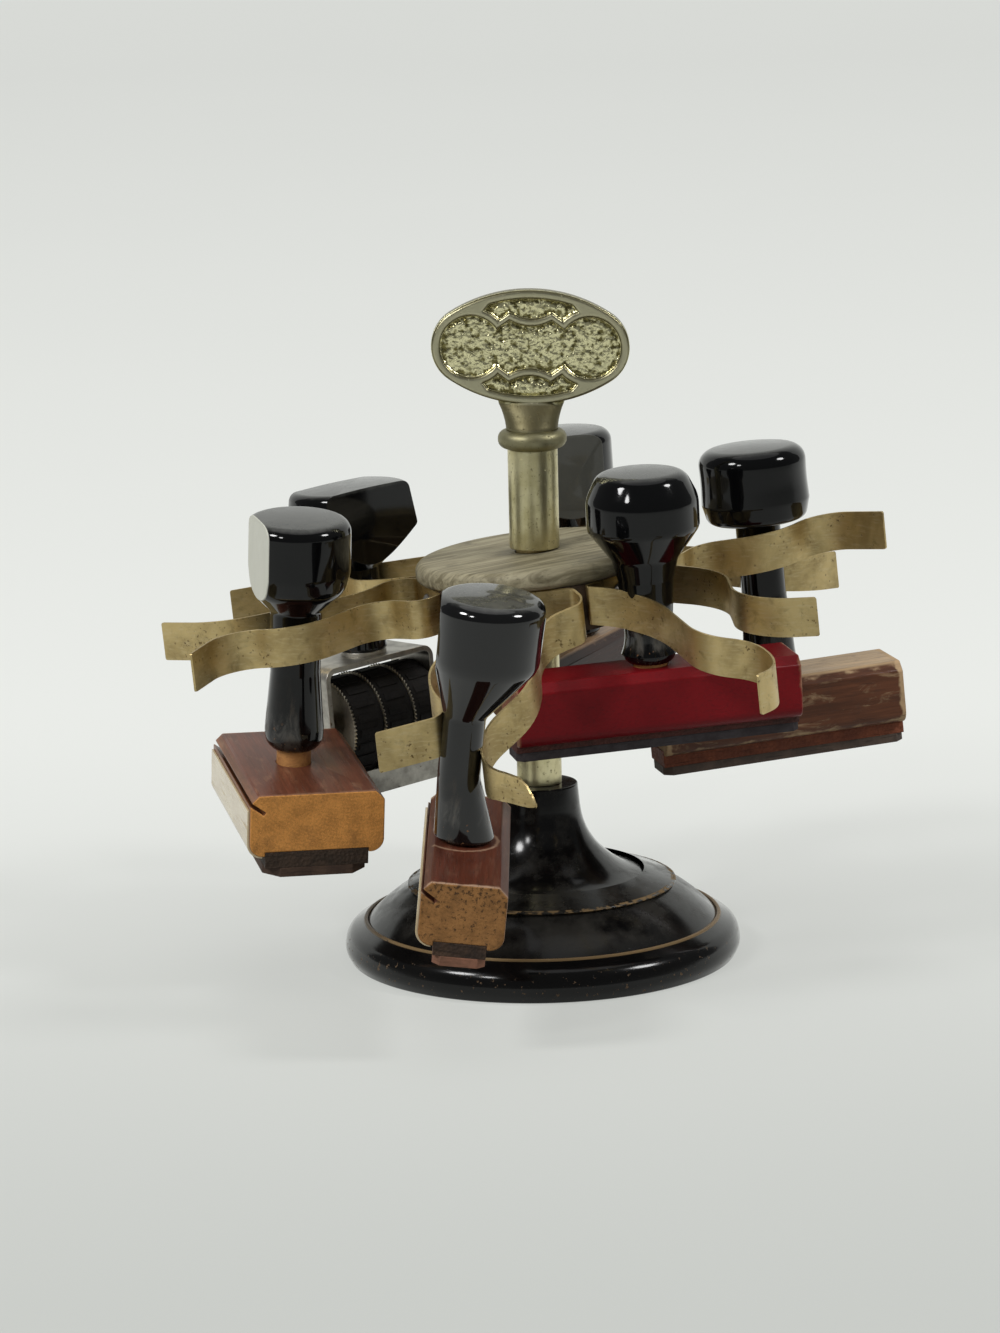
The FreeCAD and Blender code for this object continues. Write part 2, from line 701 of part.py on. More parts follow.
def peg(name):
    row = stamps[name]
    return moved(cylinder(peg_radius, -row["drop"] - peg_sink, -row["drop"] + row["peg_show"] + peg_sink),
                 stamp_frame(name))


def block_frame(name):
    """Middle of the block's underside, where the pads begin."""
    row = stamps[name]
    return stamp_frame(name).multiply(shift(y=row["aside"], z=-row["drop"] - row["wood"][2]))


def end_section(points):
    """Rounded outline on the YZ plane from (y, z, rounding) points, to be drawn out along X."""
    return Part.Face(rounded_wire([(Vector(0, y, z), rounding) for y, z, rounding in points]))


def block(name):
    """Moulded block: flat top, chamfered upper edges, round lower edges and a recess for the cushion."""
    row = stamps[name]
    length, width, height = row["wood"]
    half = width / 2
    section = end_section([
        (-half, 0, block_corner_radius), (half, 0, block_corner_radius),
        (half, height - block_chamfer, 0), (half - block_chamfer, height, 0),
        (block_chamfer - half, height, 0), (-half, height - block_chamfer, 0),
    ])
    body = moved(section.extrude(Vector(length, 0, 0)), shift(x=-length / 2))
    body = body.cut(box(2 * length, width - 2 * recess_margin, -overrun, recess_depth))
    if row["label"]:
        kerf = box(2 * length, 2 * kerf_depth, -kerf_width / 2, kerf_width / 2)
        mouth = shift(y=half - kerf_depth / 2, z=height - block_chamfer - kerf_width)
        body = body.cut(moved(kerf, mouth.multiply(turn(x_axis, kerf_angle))))
    body = moved(body, block_frame(name))
    return body.cut(moved(cylinder(peg_radius, -row["drop"] - peg_sink, overrun), stamp_frame(name)))


def index_strip(name):
    """Thin label strip that hugs the side of the block and turns under its lower edge."""
    row = stamps[name]
    length, width, height = row["wood"]
    half = width / 2
    top = height - block_chamfer - 2 * kerf_width
    skin = index_strip_thickness
    inner = block_corner_radius
    section = end_section([
        (half, top, 0), (half, 0, inner), (half - inner, 0, 0), (half - inner, -skin, 0),
        (half + skin, -skin, inner + skin), (half + skin, top, 0),
    ])
    reach = length * index_strip_length_share
    return moved(moved(section.extrude(Vector(reach, 0, 0)), shift(x=-reach / 2)), block_frame(name))


def pad(name, top, thickness):
    row = stamps[name]
    length, width, _ = row["wood"]
    return box(length, width - 2 * recess_margin, top - thickness, top)


def cushion(name):
    thickness = stamps[name]["pads"][0]
    return moved(pad(name, recess_depth, thickness), block_frame(name))


def die(name):
    thickness, rubber = stamps[name]["pads"]
    plate = pad(name, recess_depth - thickness, rubber)
    upright = [edge for edge in plate.Edges if abs(edge.Vertexes[0].Z - edge.Vertexes[1].Z) > rubber / 2]
    return moved(plate.makeChamfer(plate.BoundBox.YLength * die_corner_share, upright), block_frame(name))


# Band dater. Its own frame is that of its handle, with x along the axle.

dater_top = -stamps["rear_left"]["drop"]
dater_low = dater_top - dater_cheek_height
axle_level = dater_top - axle_drop
foot_bottom = dater_low - foot_height
band_level = axle_level - band_drop
yoke_left = dater_aside - dater_width / 2
yoke_right = dater_aside + dater_width / 2
wheels_left = yoke_left + dater_sheet + axle_spacer_length + wheel_side_gap
wheel_space = (yoke_right - dater_sheet - wheels_left) / wheel_count
wheel_width = wheel_space - wheel_side_gap


def in_dater(shape):
    return moved(shape, stamp_frame("rear_left"))


def dater_frame():
    """Bent sheet yoke: a bridge under the handle and two cheeks that carry the axle and the foot."""
    inner_bend = dater_bend_radius - dater_sheet
    inner_top = dater_top - dater_sheet
    inner_left = yoke_left + dater_sheet
    inner_right = yoke_right - dater_sheet
    outline = [
        (yoke_left, dater_low, 0), (yoke_left, dater_top, dater_bend_radius),
        (yoke_right, dater_top, dater_bend_radius), (yoke_right, dater_low, 0),
        (inner_right, dater_low, 0), (inner_right, inner_top, inner_bend),
        (inner_left, inner_top, inner_bend), (inner_left, dater_low, 0),
    ]
    wire = rounded_wire([(Vector(x, -dater_depth / 2, z), rounding) for x, z, rounding in outline])
    yoke = Part.Face(wire).extrude(Vector(0, dater_depth, 0))
    holes = cross_cylinder(axle_radius, yoke_left - overrun, yoke_right + overrun, axle_level)
    return in_dater(yoke.cut(holes).cut(cylinder(stud_radius, dater_low, dater_top + overrun)))


def dater_axle():
    """Pin riveted across the yoke, with a spacer collar beside the left cheek."""
    left_end = yoke_left - axle_head_height
    right_end = yoke_right + axle_head_height
    spacer_left = yoke_left + dater_sheet
    pin = cross_cylinder(axle_radius, left_end, right_end, axle_level)
    pin = pin.fuse(cross_cylinder(axle_head_radius, left_end, yoke_left, axle_level))
    pin = pin.fuse(cross_cylinder(axle_head_radius, yoke_right, right_end, axle_level))
    spacer = cross_cylinder(axle_spacer_radius, spacer_left, spacer_left + axle_spacer_length, axle_level)
    return in_dater(pin.fuse(spacer))


def dater_wheel(index):
    """Band wheel: a plain drum with a knurled thumb flange on its left side."""
    start = wheels_left + index * wheel_space
    rim = []
    for i in range(2 * knurl_count + 1):
        angle = math.pi * i / knurl_count
        radius = wheel_flange_radius - knurl_depth * (i % 2)
        rim.append(Vector(start, radius * math.cos(angle), axle_level + radius * math.sin(angle)))
    flange = Part.Face(Part.makePolygon(rim)).extrude(Vector(wheel_flange_thickness, 0, 0))
    drum = cross_cylinder(wheel_drum_radius, start, start + wheel_width, axle_level)
    bore = cross_cylinder(axle_radius + run_gap, start - overrun, start + wheel_width + overrun, axle_level)
    return in_dater(flange.fuse(drum).cut(bore))


def band_loop(drum, nose, start, width):
    """Belt outline round the wheel and the nose of the foot, as a solid of the given width."""
    lean = math.asin((drum - nose) / band_drop)
    across, down = math.cos(lean), math.sin(lean)

    def side(radius, level, sign):
        return Vector(start, sign * radius * across, level - radius * down)

    edges = [
        Part.Arc(side(drum, axle_level, 1), Vector(start, 0, axle_level + drum), side(drum, axle_level, -1)),
        Part.LineSegment(side(drum, axle_level, -1), side(nose, band_level, -1)),
        Part.Arc(side(nose, band_level, -1), Vector(start, 0, band_level - nose), side(nose, band_level, 1)),
        Part.LineSegment(side(nose, band_level, 1), side(drum, axle_level, 1)),
    ]
    return Part.Face(Part.Wire([edge.toShape() for edge in edges])).extrude(Vector(width, 0, 0))


def dater_bands():
    """One rubber band for each wheel, over the drum and round the nose bar."""
    bands = []
    for index in range(wheel_count):
        start = wheels_left + index * wheel_space + wheel_flange_thickness + band_gap
        width = wheel_width - wheel_flange_thickness - 2 * band_gap
        drum = wheel_drum_radius + band_gap
        outer = band_loop(drum + band_thickness, band_nose_radius + band_thickness, start, width)
        inner = band_loop(drum, band_nose_radius + run_gap, start - overrun, width + 2 * overrun)
        bands.append(outer.cut(inner))
    return in_dater(Part.makeCompound(bands))


def dater_foot():
    """Rectangular guide round the bands, with the nose bar that presses them on the paper."""
    outer = box(dater_width, dater_depth, foot_bottom, dater_low, centre_x=dater_aside)
    upright = [edge for edge in outer.Edges if edge.BoundBox.ZLength > foot_height / 2]
    outer = outer.makeFillet(foot_corner_radius, upright)
    inside = dater_width - 2 * dater_sheet
    inside_depth = dater_depth - 2 * foot_wall
    opening = box(inside, inside_depth, foot_bottom - overrun, dater_low + overrun, dater_aside)
    inner_left = yoke_left + dater_sheet
    inner_right = yoke_right - dater_sheet
    bar = cross_cylinder(band_nose_radius, inner_left, inner_right, band_level)
    web_top = axle_level - wheel_flange_radius - nose_web_gap
    web = box(inside, nose_web_thickness, band_level, web_top, dater_aside)
    return in_dater(outer.cut(opening).fuse(bar).fuse(web).removeSplitter())


def dater_stud():
    """Collared stud that joins the yoke to its handle."""
    collar_top = dater_top + stamps["rear_left"]["peg_show"]
    stud = cylinder(stud_radius, dater_top - dater_sheet, collar_top + peg_sink)
    return in_dater(stud.fuse(cylinder(stud_collar_radius, dater_top, collar_top)))


# Build every piece

save("base_casting", base_casting())
save("centre_rod", cylinder(rod_radius, rod_bottom, stem_top + key_socket_depth))
save("base_washer", tube(washer_radius, rod_radius + rod_hole_gap, washer_bottom, boss_bottom))
save("base_nut", hex_nut())
save("lower_sleeve", tube(sleeve_radius, sleeve_radius - sleeve_wall, neck_top, sleeve_top))
thrust_top = sleeve_top + thrust_thickness
save("thrust_washer", tube(thrust_radius, rod_radius + rod_hole_gap, sleeve_top, thrust_top))
save("stem_tube", tube(stem_radius, rod_radius + rod_hole_gap, stem_bottom, stem_top))
save("key_head", key_head())
save("hub_disc", hub_disc())
save("hub_drum", hub_drum())
save("hub_bush", tube(bush_radius, rod_radius + run_gap, bush_bottom, bush_top))
for name, row in clips.items():
    save("clip_" + name, spring_clip(row))
screws = [moved(clip_screw(), clip_frame(row["bearing"])) for row in clips.values()]
save("clip_screws", Part.makeCompound(screws))
for name, row in stamps.items():
    save("handle_" + name, handle(name))
    if "wood" in row:
        save("peg_" + name, peg(name))
        save("block_" + name, block(name))
        save("cushion_" + name, cushion(name))
        save("die_" + name, die(name))
    if row["label"]:
        save("index_strip_" + name, index_strip(name))
save("dater_stud", dater_stud())
save("dater_frame", dater_frame())
save("dater_axle", dater_axle())
for index in range(wheel_count):
    save("dater_wheel_" + str(index + 1), dater_wheel(index))
save("dater_bands", dater_bands())
save("dater_foot", dater_foot())

for name in stamps:
    place = stamp_frame(name)
    print(name, "stands at", place.Base, "draws along", draw_direction(name))
axle = stamp_frame("rear_left")
print("axle through", axle.multVec(Vector(0, 0, axle_level)), "along", axle.Rotation.multVec(x_axis))
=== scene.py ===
# %% [markdown]
# # A rotary rack for rubber stamps
# This lesson dresses a finished model of a desk rack: a japanned cast foot, a wooden hub that turns on
# a rod, bent brass clips, turned black handles, wooden blocks and a band dater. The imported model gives
# every size and place. Blender gives the soft edges, the finishes and the light. Lengths are written
# in millimetres, as in a workshop drawing, and one factor turns them into Blender's metres.

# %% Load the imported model
import bmesh
import bpy
import json
import math
from mathutils import Matrix, Vector, noise

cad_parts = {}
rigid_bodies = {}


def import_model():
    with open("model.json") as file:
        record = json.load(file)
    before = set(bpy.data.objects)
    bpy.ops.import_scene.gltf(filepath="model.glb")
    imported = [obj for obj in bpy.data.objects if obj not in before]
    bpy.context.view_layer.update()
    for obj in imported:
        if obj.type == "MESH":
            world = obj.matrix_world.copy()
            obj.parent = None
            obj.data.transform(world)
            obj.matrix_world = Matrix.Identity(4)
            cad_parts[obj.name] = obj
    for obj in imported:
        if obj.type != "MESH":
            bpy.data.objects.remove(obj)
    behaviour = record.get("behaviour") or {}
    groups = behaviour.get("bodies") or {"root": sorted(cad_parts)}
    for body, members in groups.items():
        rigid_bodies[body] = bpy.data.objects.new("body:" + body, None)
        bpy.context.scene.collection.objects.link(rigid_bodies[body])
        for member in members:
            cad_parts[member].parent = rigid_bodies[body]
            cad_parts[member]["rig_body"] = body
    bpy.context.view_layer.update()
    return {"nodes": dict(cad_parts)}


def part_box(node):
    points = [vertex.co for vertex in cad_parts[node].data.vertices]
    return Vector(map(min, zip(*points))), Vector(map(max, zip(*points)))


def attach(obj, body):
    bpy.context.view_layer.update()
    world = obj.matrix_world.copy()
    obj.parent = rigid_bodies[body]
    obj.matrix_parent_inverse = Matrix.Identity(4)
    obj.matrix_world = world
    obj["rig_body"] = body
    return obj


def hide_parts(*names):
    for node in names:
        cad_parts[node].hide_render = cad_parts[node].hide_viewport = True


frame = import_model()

MM = 0.001


# %% [markdown]
# ## Writing finishes as sums
# A finish is a small calculation: how dark is the grain here, how dusty is this edge. It could be
# wired by hand in the Shader Editor. Written as Python it is shorter and can be read from left to
# right, so one small class wraps a socket and lets it be added, multiplied and compared.

# %% A socket that can be calculated with
def operator(operation, swapped=False):
    """A method for Value that adds one Math node."""
    def method(self, *others):
        values = (*others, self) if swapped else (self, *others)
        return self.finish.node("ShaderNodeMath", {"operation": operation}, *values)
    return method


class Value:
    """One output of a finish's nodes. Arithmetic on it adds Math nodes."""

    def __init__(self, finish, socket):
        self.finish, self.socket = finish, socket

    __add__, __radd__ = operator("ADD"), operator("ADD", swapped=True)
    __sub__, __rsub__ = operator("SUBTRACT"), operator("SUBTRACT", swapped=True)
    __mul__, __rmul__ = operator("MULTIPLY"), operator("MULTIPLY", swapped=True)
    __lt__ = operator("LESS_THAN")
    __abs__ = operator("ABSOLUTE")


# %% [markdown]
# A finish holds one Principled shader. Whatever is the same all over the surface is set on the
# shader's own sockets. Whatever changes from place to place is a `Value` that is plugged in. Every
# texture reads the point of the surface in the model's own space, so a pattern stays on its piece when
# the piece moves.

# %% A finish with one method for every node
class Finish:
    def __init__(self, name, **constants):
        self.material = bpy.data.materials.new(name)
        self.material.use_nodes = True
        self.tree = self.material.node_tree
        self.shader = self.tree.nodes["Principled BSDF"]
        for socket, value in constants.items():
            self.shader.inputs[socket.replace("_", " ")].default_value = value
        self.point = self.node("ShaderNodeTexCoord", {}, output="Object")

    def node(self, kind, settings, *values, sockets=None, output=0):
        """Add a node: settings first, then the values or links of its sockets, in order or by name."""
        node = self.tree.nodes.new(kind)
        for key, setting in settings.items():
            if key == "stops":
                while len(node.color_ramp.elements) < len(setting):
                    node.color_ramp.elements.new(0.5)
                for element, (place, colour) in zip(node.color_ramp.elements, setting):
                    element.position = place
                    element.color = (*colour, 1)
            else:
                setattr(node, key, setting)
        for key, value in [*enumerate(values), *(sockets or {}).items()]:
            if isinstance(value, Value):
                self.tree.links.new(value.socket, node.inputs[key])
            elif value is not None:
                node.inputs[key].default_value = value
        return Value(self, node.outputs[output])

    def feed(self, **links):
        """Plug values into the shader's sockets."""
        for socket, value in links.items():
            self.tree.links.new(value.socket, self.shader.inputs[socket.replace("_", " ")])
        return self.material

    def vector(self, operation, first, second):
        output = "Value" if operation in ("DOT_PRODUCT", "LENGTH", "DISTANCE") else 0
        return self.node("ShaderNodeVectorMath", {"operation": operation}, first, second, output=output)

    def part(self, vector, axis):
        return self.node("ShaderNodeSeparateXYZ", {}, vector, output="XYZ".index(axis))

    def inside(self, place):
        """The point as seen from a piece's own frame, in millimetres."""
        axes, origin = [place.col[i].xyz for i in range(3)], place.col[3].xyz
        across = [self.vector("DOT_PRODUCT", self.point, tuple(axis / MM)) - axis.dot(origin)
                  for axis in axes]
        return self.node("ShaderNodeCombineXYZ", {}, *across)

    def millimetres(self):
        return self.vector("MULTIPLY", self.point, (1 / MM, 1 / MM, 1 / MM))

    def stretch(self, point, x, y, z):
        return self.vector("MULTIPLY", point, (x, y, z))

    def noise(self, point, size, detail=3.0, roughness=0.5, distortion=0.0):
        """Cloudy pattern from 0 to 1 whose blotches are about size millimetres across."""
        return self.node("ShaderNodeTexNoise", {}, sockets={
            "Vector": point, "Scale": 1 / size, "Detail": detail, "Roughness": roughness,
            "Distortion": distortion})

    def cells(self, point, size, feature="F1"):
        """Distance to the nearest of scattered points, about size millimetres apart."""
        return self.node("ShaderNodeTexVoronoi", {"feature": feature}, sockets={
            "Vector": point, "Scale": 1 / size})

    def soft(self, value, low, high):
        """0 below low, 1 above high and a smooth step between."""
        return self.node("ShaderNodeMapRange", {"interpolation_type": "SMOOTHSTEP"}, value, low, high)

    def patches(self, point, size, detail, low, high, roughness=0.5):
        """Scattered patches: noise with a smooth step from low to high."""
        return self.soft(self.noise(point, size, detail, roughness), low, high)

    def blend(self, share, first, second):
        """Colour from first to second as share goes from 0 to 1."""
        colours = [c if isinstance(c, Value) else (*c, 1) for c in (first, second)]
        return self.node("ShaderNodeMix", {"data_type": "RGBA"}, output=2,
                         sockets={0: share, 6: colours[0], 7: colours[1]})

    def bump(self, height, depth):
        """Surface relief of a height from 0 to 1, depth millimetres deep."""
        return self.node("ShaderNodeBump", {}, sockets={"Height": height, "Distance": depth * MM})


def dim(colour, share):
    """The same colour with only a share of its light."""
    return tuple(c * share for c in colour)


print("finish tools ready")


# %% [markdown]
# ## Finishes
# ### Black japan with gold lines
# The foot was dipped in black japan, a thick baked varnish, and two raised beads were lined in gold by
# hand. The varnish is deep and glossy but old: it has fine pits, dust on the slopes that face up, and
# brown chips along the rim. The gold follows the beads, so it is found by radius and height.

# %% Black japan
LOW_BEAD = {"radius": 48.0, "height": 10.4, "rise": 0.55}
HIGH_BEAD = {"radius": 36.0, "height": 20.0, "rise": 0.3}
DUST = (0.15, 0.14, 0.12)


def japan():
    f = Finish("black japan", Coat_IOR=1.36, Coat_Roughness=0.16, Specular_IOR_Level=0.06)
    p = f.millimetres()
    radius = f.vector("LENGTH", f.stretch(p, 1, 1, 0), None)
    height = f.part(p, "Z")
    cloud = f.noise(p, 14, 4)
    fine = f.noise(p, 0.7, 3)
    lines = []
    for ring, level, wear in ((LOW_BEAD, 10.9, 0.32), (HIGH_BEAD, 20.4, 0.53)):
        offset = f.node("ShaderNodeCombineXYZ", {}, radius - ring["radius"], height - level, 0.0)
        line = 1 - f.soft(f.vector("LENGTH", offset, None), 0.65, 1.0)
        lines.append(line * f.patches(p, 2.2, 4, wear - 0.12, wear + 0.05))
    gold = lines[0] + lines[1]
    dust = f.patches(p, 7, 5, 0.47, 0.70, 0.65) * f.soft(height, 8, 20) * 0.6
    chips = f.patches(p, 1.5, 4, 0.63, 0.68, 0.6) * f.soft(radius, 51.4, 53.4)
    dome = f.soft(radius, 21, 31) * (1 - f.soft(radius, 43, 49))
    haze = dome * f.patches(p, 17, 4, 0.40, 0.62, 0.6)
    black = f.blend(cloud, (0.0015, 0.0016, 0.002), (0.005, 0.0045, 0.0042))
    colour = f.blend(dust * 0.16, black, DUST)
    colour = f.blend(haze * 0.16, colour, DUST)
    colour = f.blend(chips, colour, (0.13, 0.085, 0.05))
    colour = f.blend(gold * 0.8, colour, (0.25, 0.165, 0.08))
    rough = 0.12 + haze * 0.2 + dust * 0.3 + chips * 0.45 + gold * 0.22 + f.soft(fine, 0.5, 0.9) * 0.08
    coat = 0.9 - dust * 0.6 - haze * 0.45 - chips * 0.6 - gold * 0.7
    relief = f.noise(p, 3.0, 2) * 0.5 + f.soft(fine, 0.62, 0.75) * 0.3 - chips * 0.8
    return f.feed(Base_Color=colour, Roughness=rough, Coat_Weight=coat, Normal=f.bump(relief, 0.06))


# %% [markdown]
# ### Worn nickel over brass
# The stem and the key were plated. The nickel has gone warm and thin, with a greener yellow where the
# brass shows and fine turning marks round the stem. The key's colour carries painted light: a painted
# highlight along the crowns of the ribs, painted shade on the walls of the fields and in the grooves
# beside the ribs, and on the hammered ground painted highlights on its high spots and painted shade in
# its low spots. All three are found by their depth below the key's face.

# %% Worn nickel
def nickel(name, pale, yellow, streaked, hollow=False):
    f = Finish(name, IOR=1.6, Specular_IOR_Level=0.5, Metallic=1.0)
    p = f.millimetres()
    patch = f.noise(p, 6, 5, 0.6)
    fleck = f.patches(p, 0.9, 4, 0.58, 0.74, 0.6)
    streak = f.noise(f.stretch(p, 1.4, 1.4, 0.08), 1.2, 3)
    colour = f.blend(f.soft(patch, 0.35, 0.7), pale, yellow)
    colour = f.blend(streak * 0.35, colour, streaked)
    colour = f.blend(fleck * 0.6, colour, (0.13, 0.10, 0.05))
    rough = 0.26 + patch * 0.16 + fleck * 0.2
    relief = streak * 0.3 + fleck * -0.5 + f.noise(p, 0.5, 3) * 0.25
    if hollow:
        q = f.inside(KEY_PLACE)
        depth = THICKNESS / 2 - abs(f.part(q, "Y"))
        on_plate = f.soft(f.part(q, "Z"), -15.6, -14.6)
        neck = 1 - on_plate
        flare = neck * f.soft(f.part(q, "Z"), -22.4, -21.6)
        colour = f.blend(flare * 0.75, colour, (0.135, 0.115, 0.06))
        # Painted highlight: the crowns of the ribs are made pale where light would catch them.
        painted_rib_highlight = (1 - f.soft(depth, 0.0, 0.14)) * on_plate
        colour = f.blend(painted_rib_highlight * 0.7, colour, (0.62, 0.59, 0.41))
        sunk = f.soft(depth, 0.5, 0.72) * on_plate
        # Painted light on the hammered ground: high spots painted bright as highlights, low spots and the
        # moat along the walls painted dark as shade, with random tone from the noise.
        ground_painted_light = f.soft(f.noise(q, 1.5, 3, 0.55) + (0.95 - depth) * 0.8, 0.36, 0.56)
        colour = f.blend(sunk * 0.95, colour, f.blend(ground_painted_light, (0.19, 0.165, 0.06), (0.92, 0.87, 0.53)))
        # Painted shade: the walls of the fields and the grooves beside the ribs are darkened.
        painted_wall_shade = f.soft(depth, 0.16, 0.3) * (1 - f.soft(depth, 0.45, 0.62)) * on_plate
        colour = f.blend(painted_wall_shade * 0.8, colour, (0.07, 0.06, 0.024))
        rough = rough + neck * 0.16 - sunk * 0.08
        relief = relief + sunk * f.noise(p, 1.1, 2, 0.45) * 3.2
    return f.feed(Base_Color=colour, Roughness=rough, Normal=f.bump(relief, 0.09))


# %% [markdown]
# ### Aged spring brass
# The clips are hard brass strip, never plated. Years of fingers left them dull and olive, darker
# towards the edges, with brown freckles where the lacquer failed.

# %% Spring brass
def spring_brass():
    f = Finish("spring brass", IOR=1.5, Metallic=1.0)
    p = f.millimetres()
    cloud = f.noise(p, 11, 5, 0.6, 0.6)
    grain = f.noise(f.stretch(p, 1, 1, 5), 3.0, 4, 0.6)
    spots = f.patches(p, 1.2, 5, 0.58, 0.66, 0.62) * f.patches(p, 13, 2, 0.50, 0.60)
    stain = f.soft(f.noise(p, 5, 5, 0.7, 0.5), 0.52, 0.72)
    pits = 1 - f.soft(f.cells(p, 2.6), 0.08, 0.16)
    dark = spots * 0.75 + pits * 0.4
    colour = f.blend(f.soft(cloud, 0.35, 0.68), (0.63, 0.49, 0.235), (0.43, 0.325, 0.15))
    colour = f.blend(f.soft(grain, 0.45, 0.75) * 0.6, colour, (0.66, 0.55, 0.32))
    colour = f.blend(stain * 0.45, colour, (0.20, 0.145, 0.065))
    colour = f.blend(dark, colour, (0.085, 0.050, 0.022))
    rough = 0.33 + cloud * 0.14 + grain * 0.06 + dark * 0.3
    relief = grain * 0.4 + pits * -0.6 + spots * 0.5
    return f.feed(Base_Color=colour, Roughness=rough, Normal=f.bump(relief, 0.05))


# %% [markdown]
# ### Black lacquer on turned wood
# A handle is turned in the lathe, dipped in black lacquer and dried. The lacquer is glossy, slightly
# wavy and, where hands and clips rub it, scuffed to a greyish brown. Each handle has its own amount of
# wear at its foot and on its crown. The paler grey on the crown is partly dust and partly a painted
# reflection of the bright room above. `pale` says how far the lacquer is gone from a flat face.

# %% Black lacquer
def lacquer(name, place, foot, top, wear, flat, pale, shine):
    f = Finish(name, Coat_Roughness=0.06, Coat_IOR=shine, Specular_IOR_Level=0.06)
    p = f.inside(place)
    z = f.part(p, "Z")
    cloud = f.noise(p, 9, 4)
    smear = f.noise(f.stretch(p, 1, 1, 0.35), 4.5, 5, 0.62, 0.8)
    scuff = f.soft(smear, 0.60 - 0.12 * wear, 0.70) * (1 - f.soft(z, foot + 9, foot + 26)) * wear
    chips = f.patches(p, 1.3, 4, 0.655, 0.69, 0.6) * (1 - f.soft(z, foot + 2, foot + 12)) * wear
    dust = f.patches(p, 0.8, 4, 0.62, 0.8) * 0.25
    colour = f.blend(cloud, (0.0012, 0.0014, 0.0018), (0.0034, 0.0034, 0.0036))
    colour = f.blend(scuff * 0.6, colour, (0.10, 0.085, 0.07))
    colour = f.blend(chips, colour, (0.20, 0.10, 0.045))
    # The pale grey crown is partly dust and partly a painted reflection of the bright room above the knob.
    crown = f.soft(z + f.noise(p, 3, 4) * 0.8, top - 0.5, top + 0.7) * wear
    crown = crown * (0.5 + 0.5 * f.soft(smear, 0.25, 0.75))
    colour = f.blend(crown * 0.5, colour, (0.19, 0.19, 0.175))
    ring = f.soft(z, foot + 3.5, foot + 6) * (1 - f.soft(z, foot + 8, foot + 13))
    ring = ring * f.soft(smear, 0.38, 0.62) * wear
    colour = f.blend(ring * 0.45, colour, (0.17, 0.165, 0.15))
    rough = 0.09 + cloud * 0.05 + scuff * 0.45 + chips * 0.4 + dust * 0.2 + crown * 0.28 + ring * 0.3
    coat = 0.95 - scuff * 0.6 - chips * 0.5 - crown * 0.4 - ring * 0.3
    if flat:
        angle, offset = flat
        away = f.vector("DOT_PRODUCT", p, (math.cos(angle), math.sin(angle), 0))
        face = f.soft(away, offset - 0.35, offset - 0.1)
        colour = f.blend(face * pale, colour, f.blend(smear, (0.55, 0.55, 0.47), (0.68, 0.68, 0.60)))
        rough = rough + face * 0.3
        coat = coat - face * pale
    relief = f.noise(p, 5, 2) * 0.6 + scuff * -0.3 + chips * -0.8 + f.noise(p, 0.6, 2) * 0.08
    return f.feed(Base_Color=colour, Roughness=rough, Coat_Weight=coat, Normal=f.bump(relief, 0.09))


# %% [markdown]
# ### Wood
# Grain runs along the length of a block, so the pattern is stretched along the block's own x axis.
# The two ends show the rings instead, drier and paler because varnish soaks in. One recipe serves all
# blocks, with colours for the top, the sides, the ends and the rubbed edges. `specks` opens holes in
# the end grain, `scuffs` wears streaks along the sides, and `ring` is the x, y and radius of a mark on
# the top, worn there by the handle's foot.

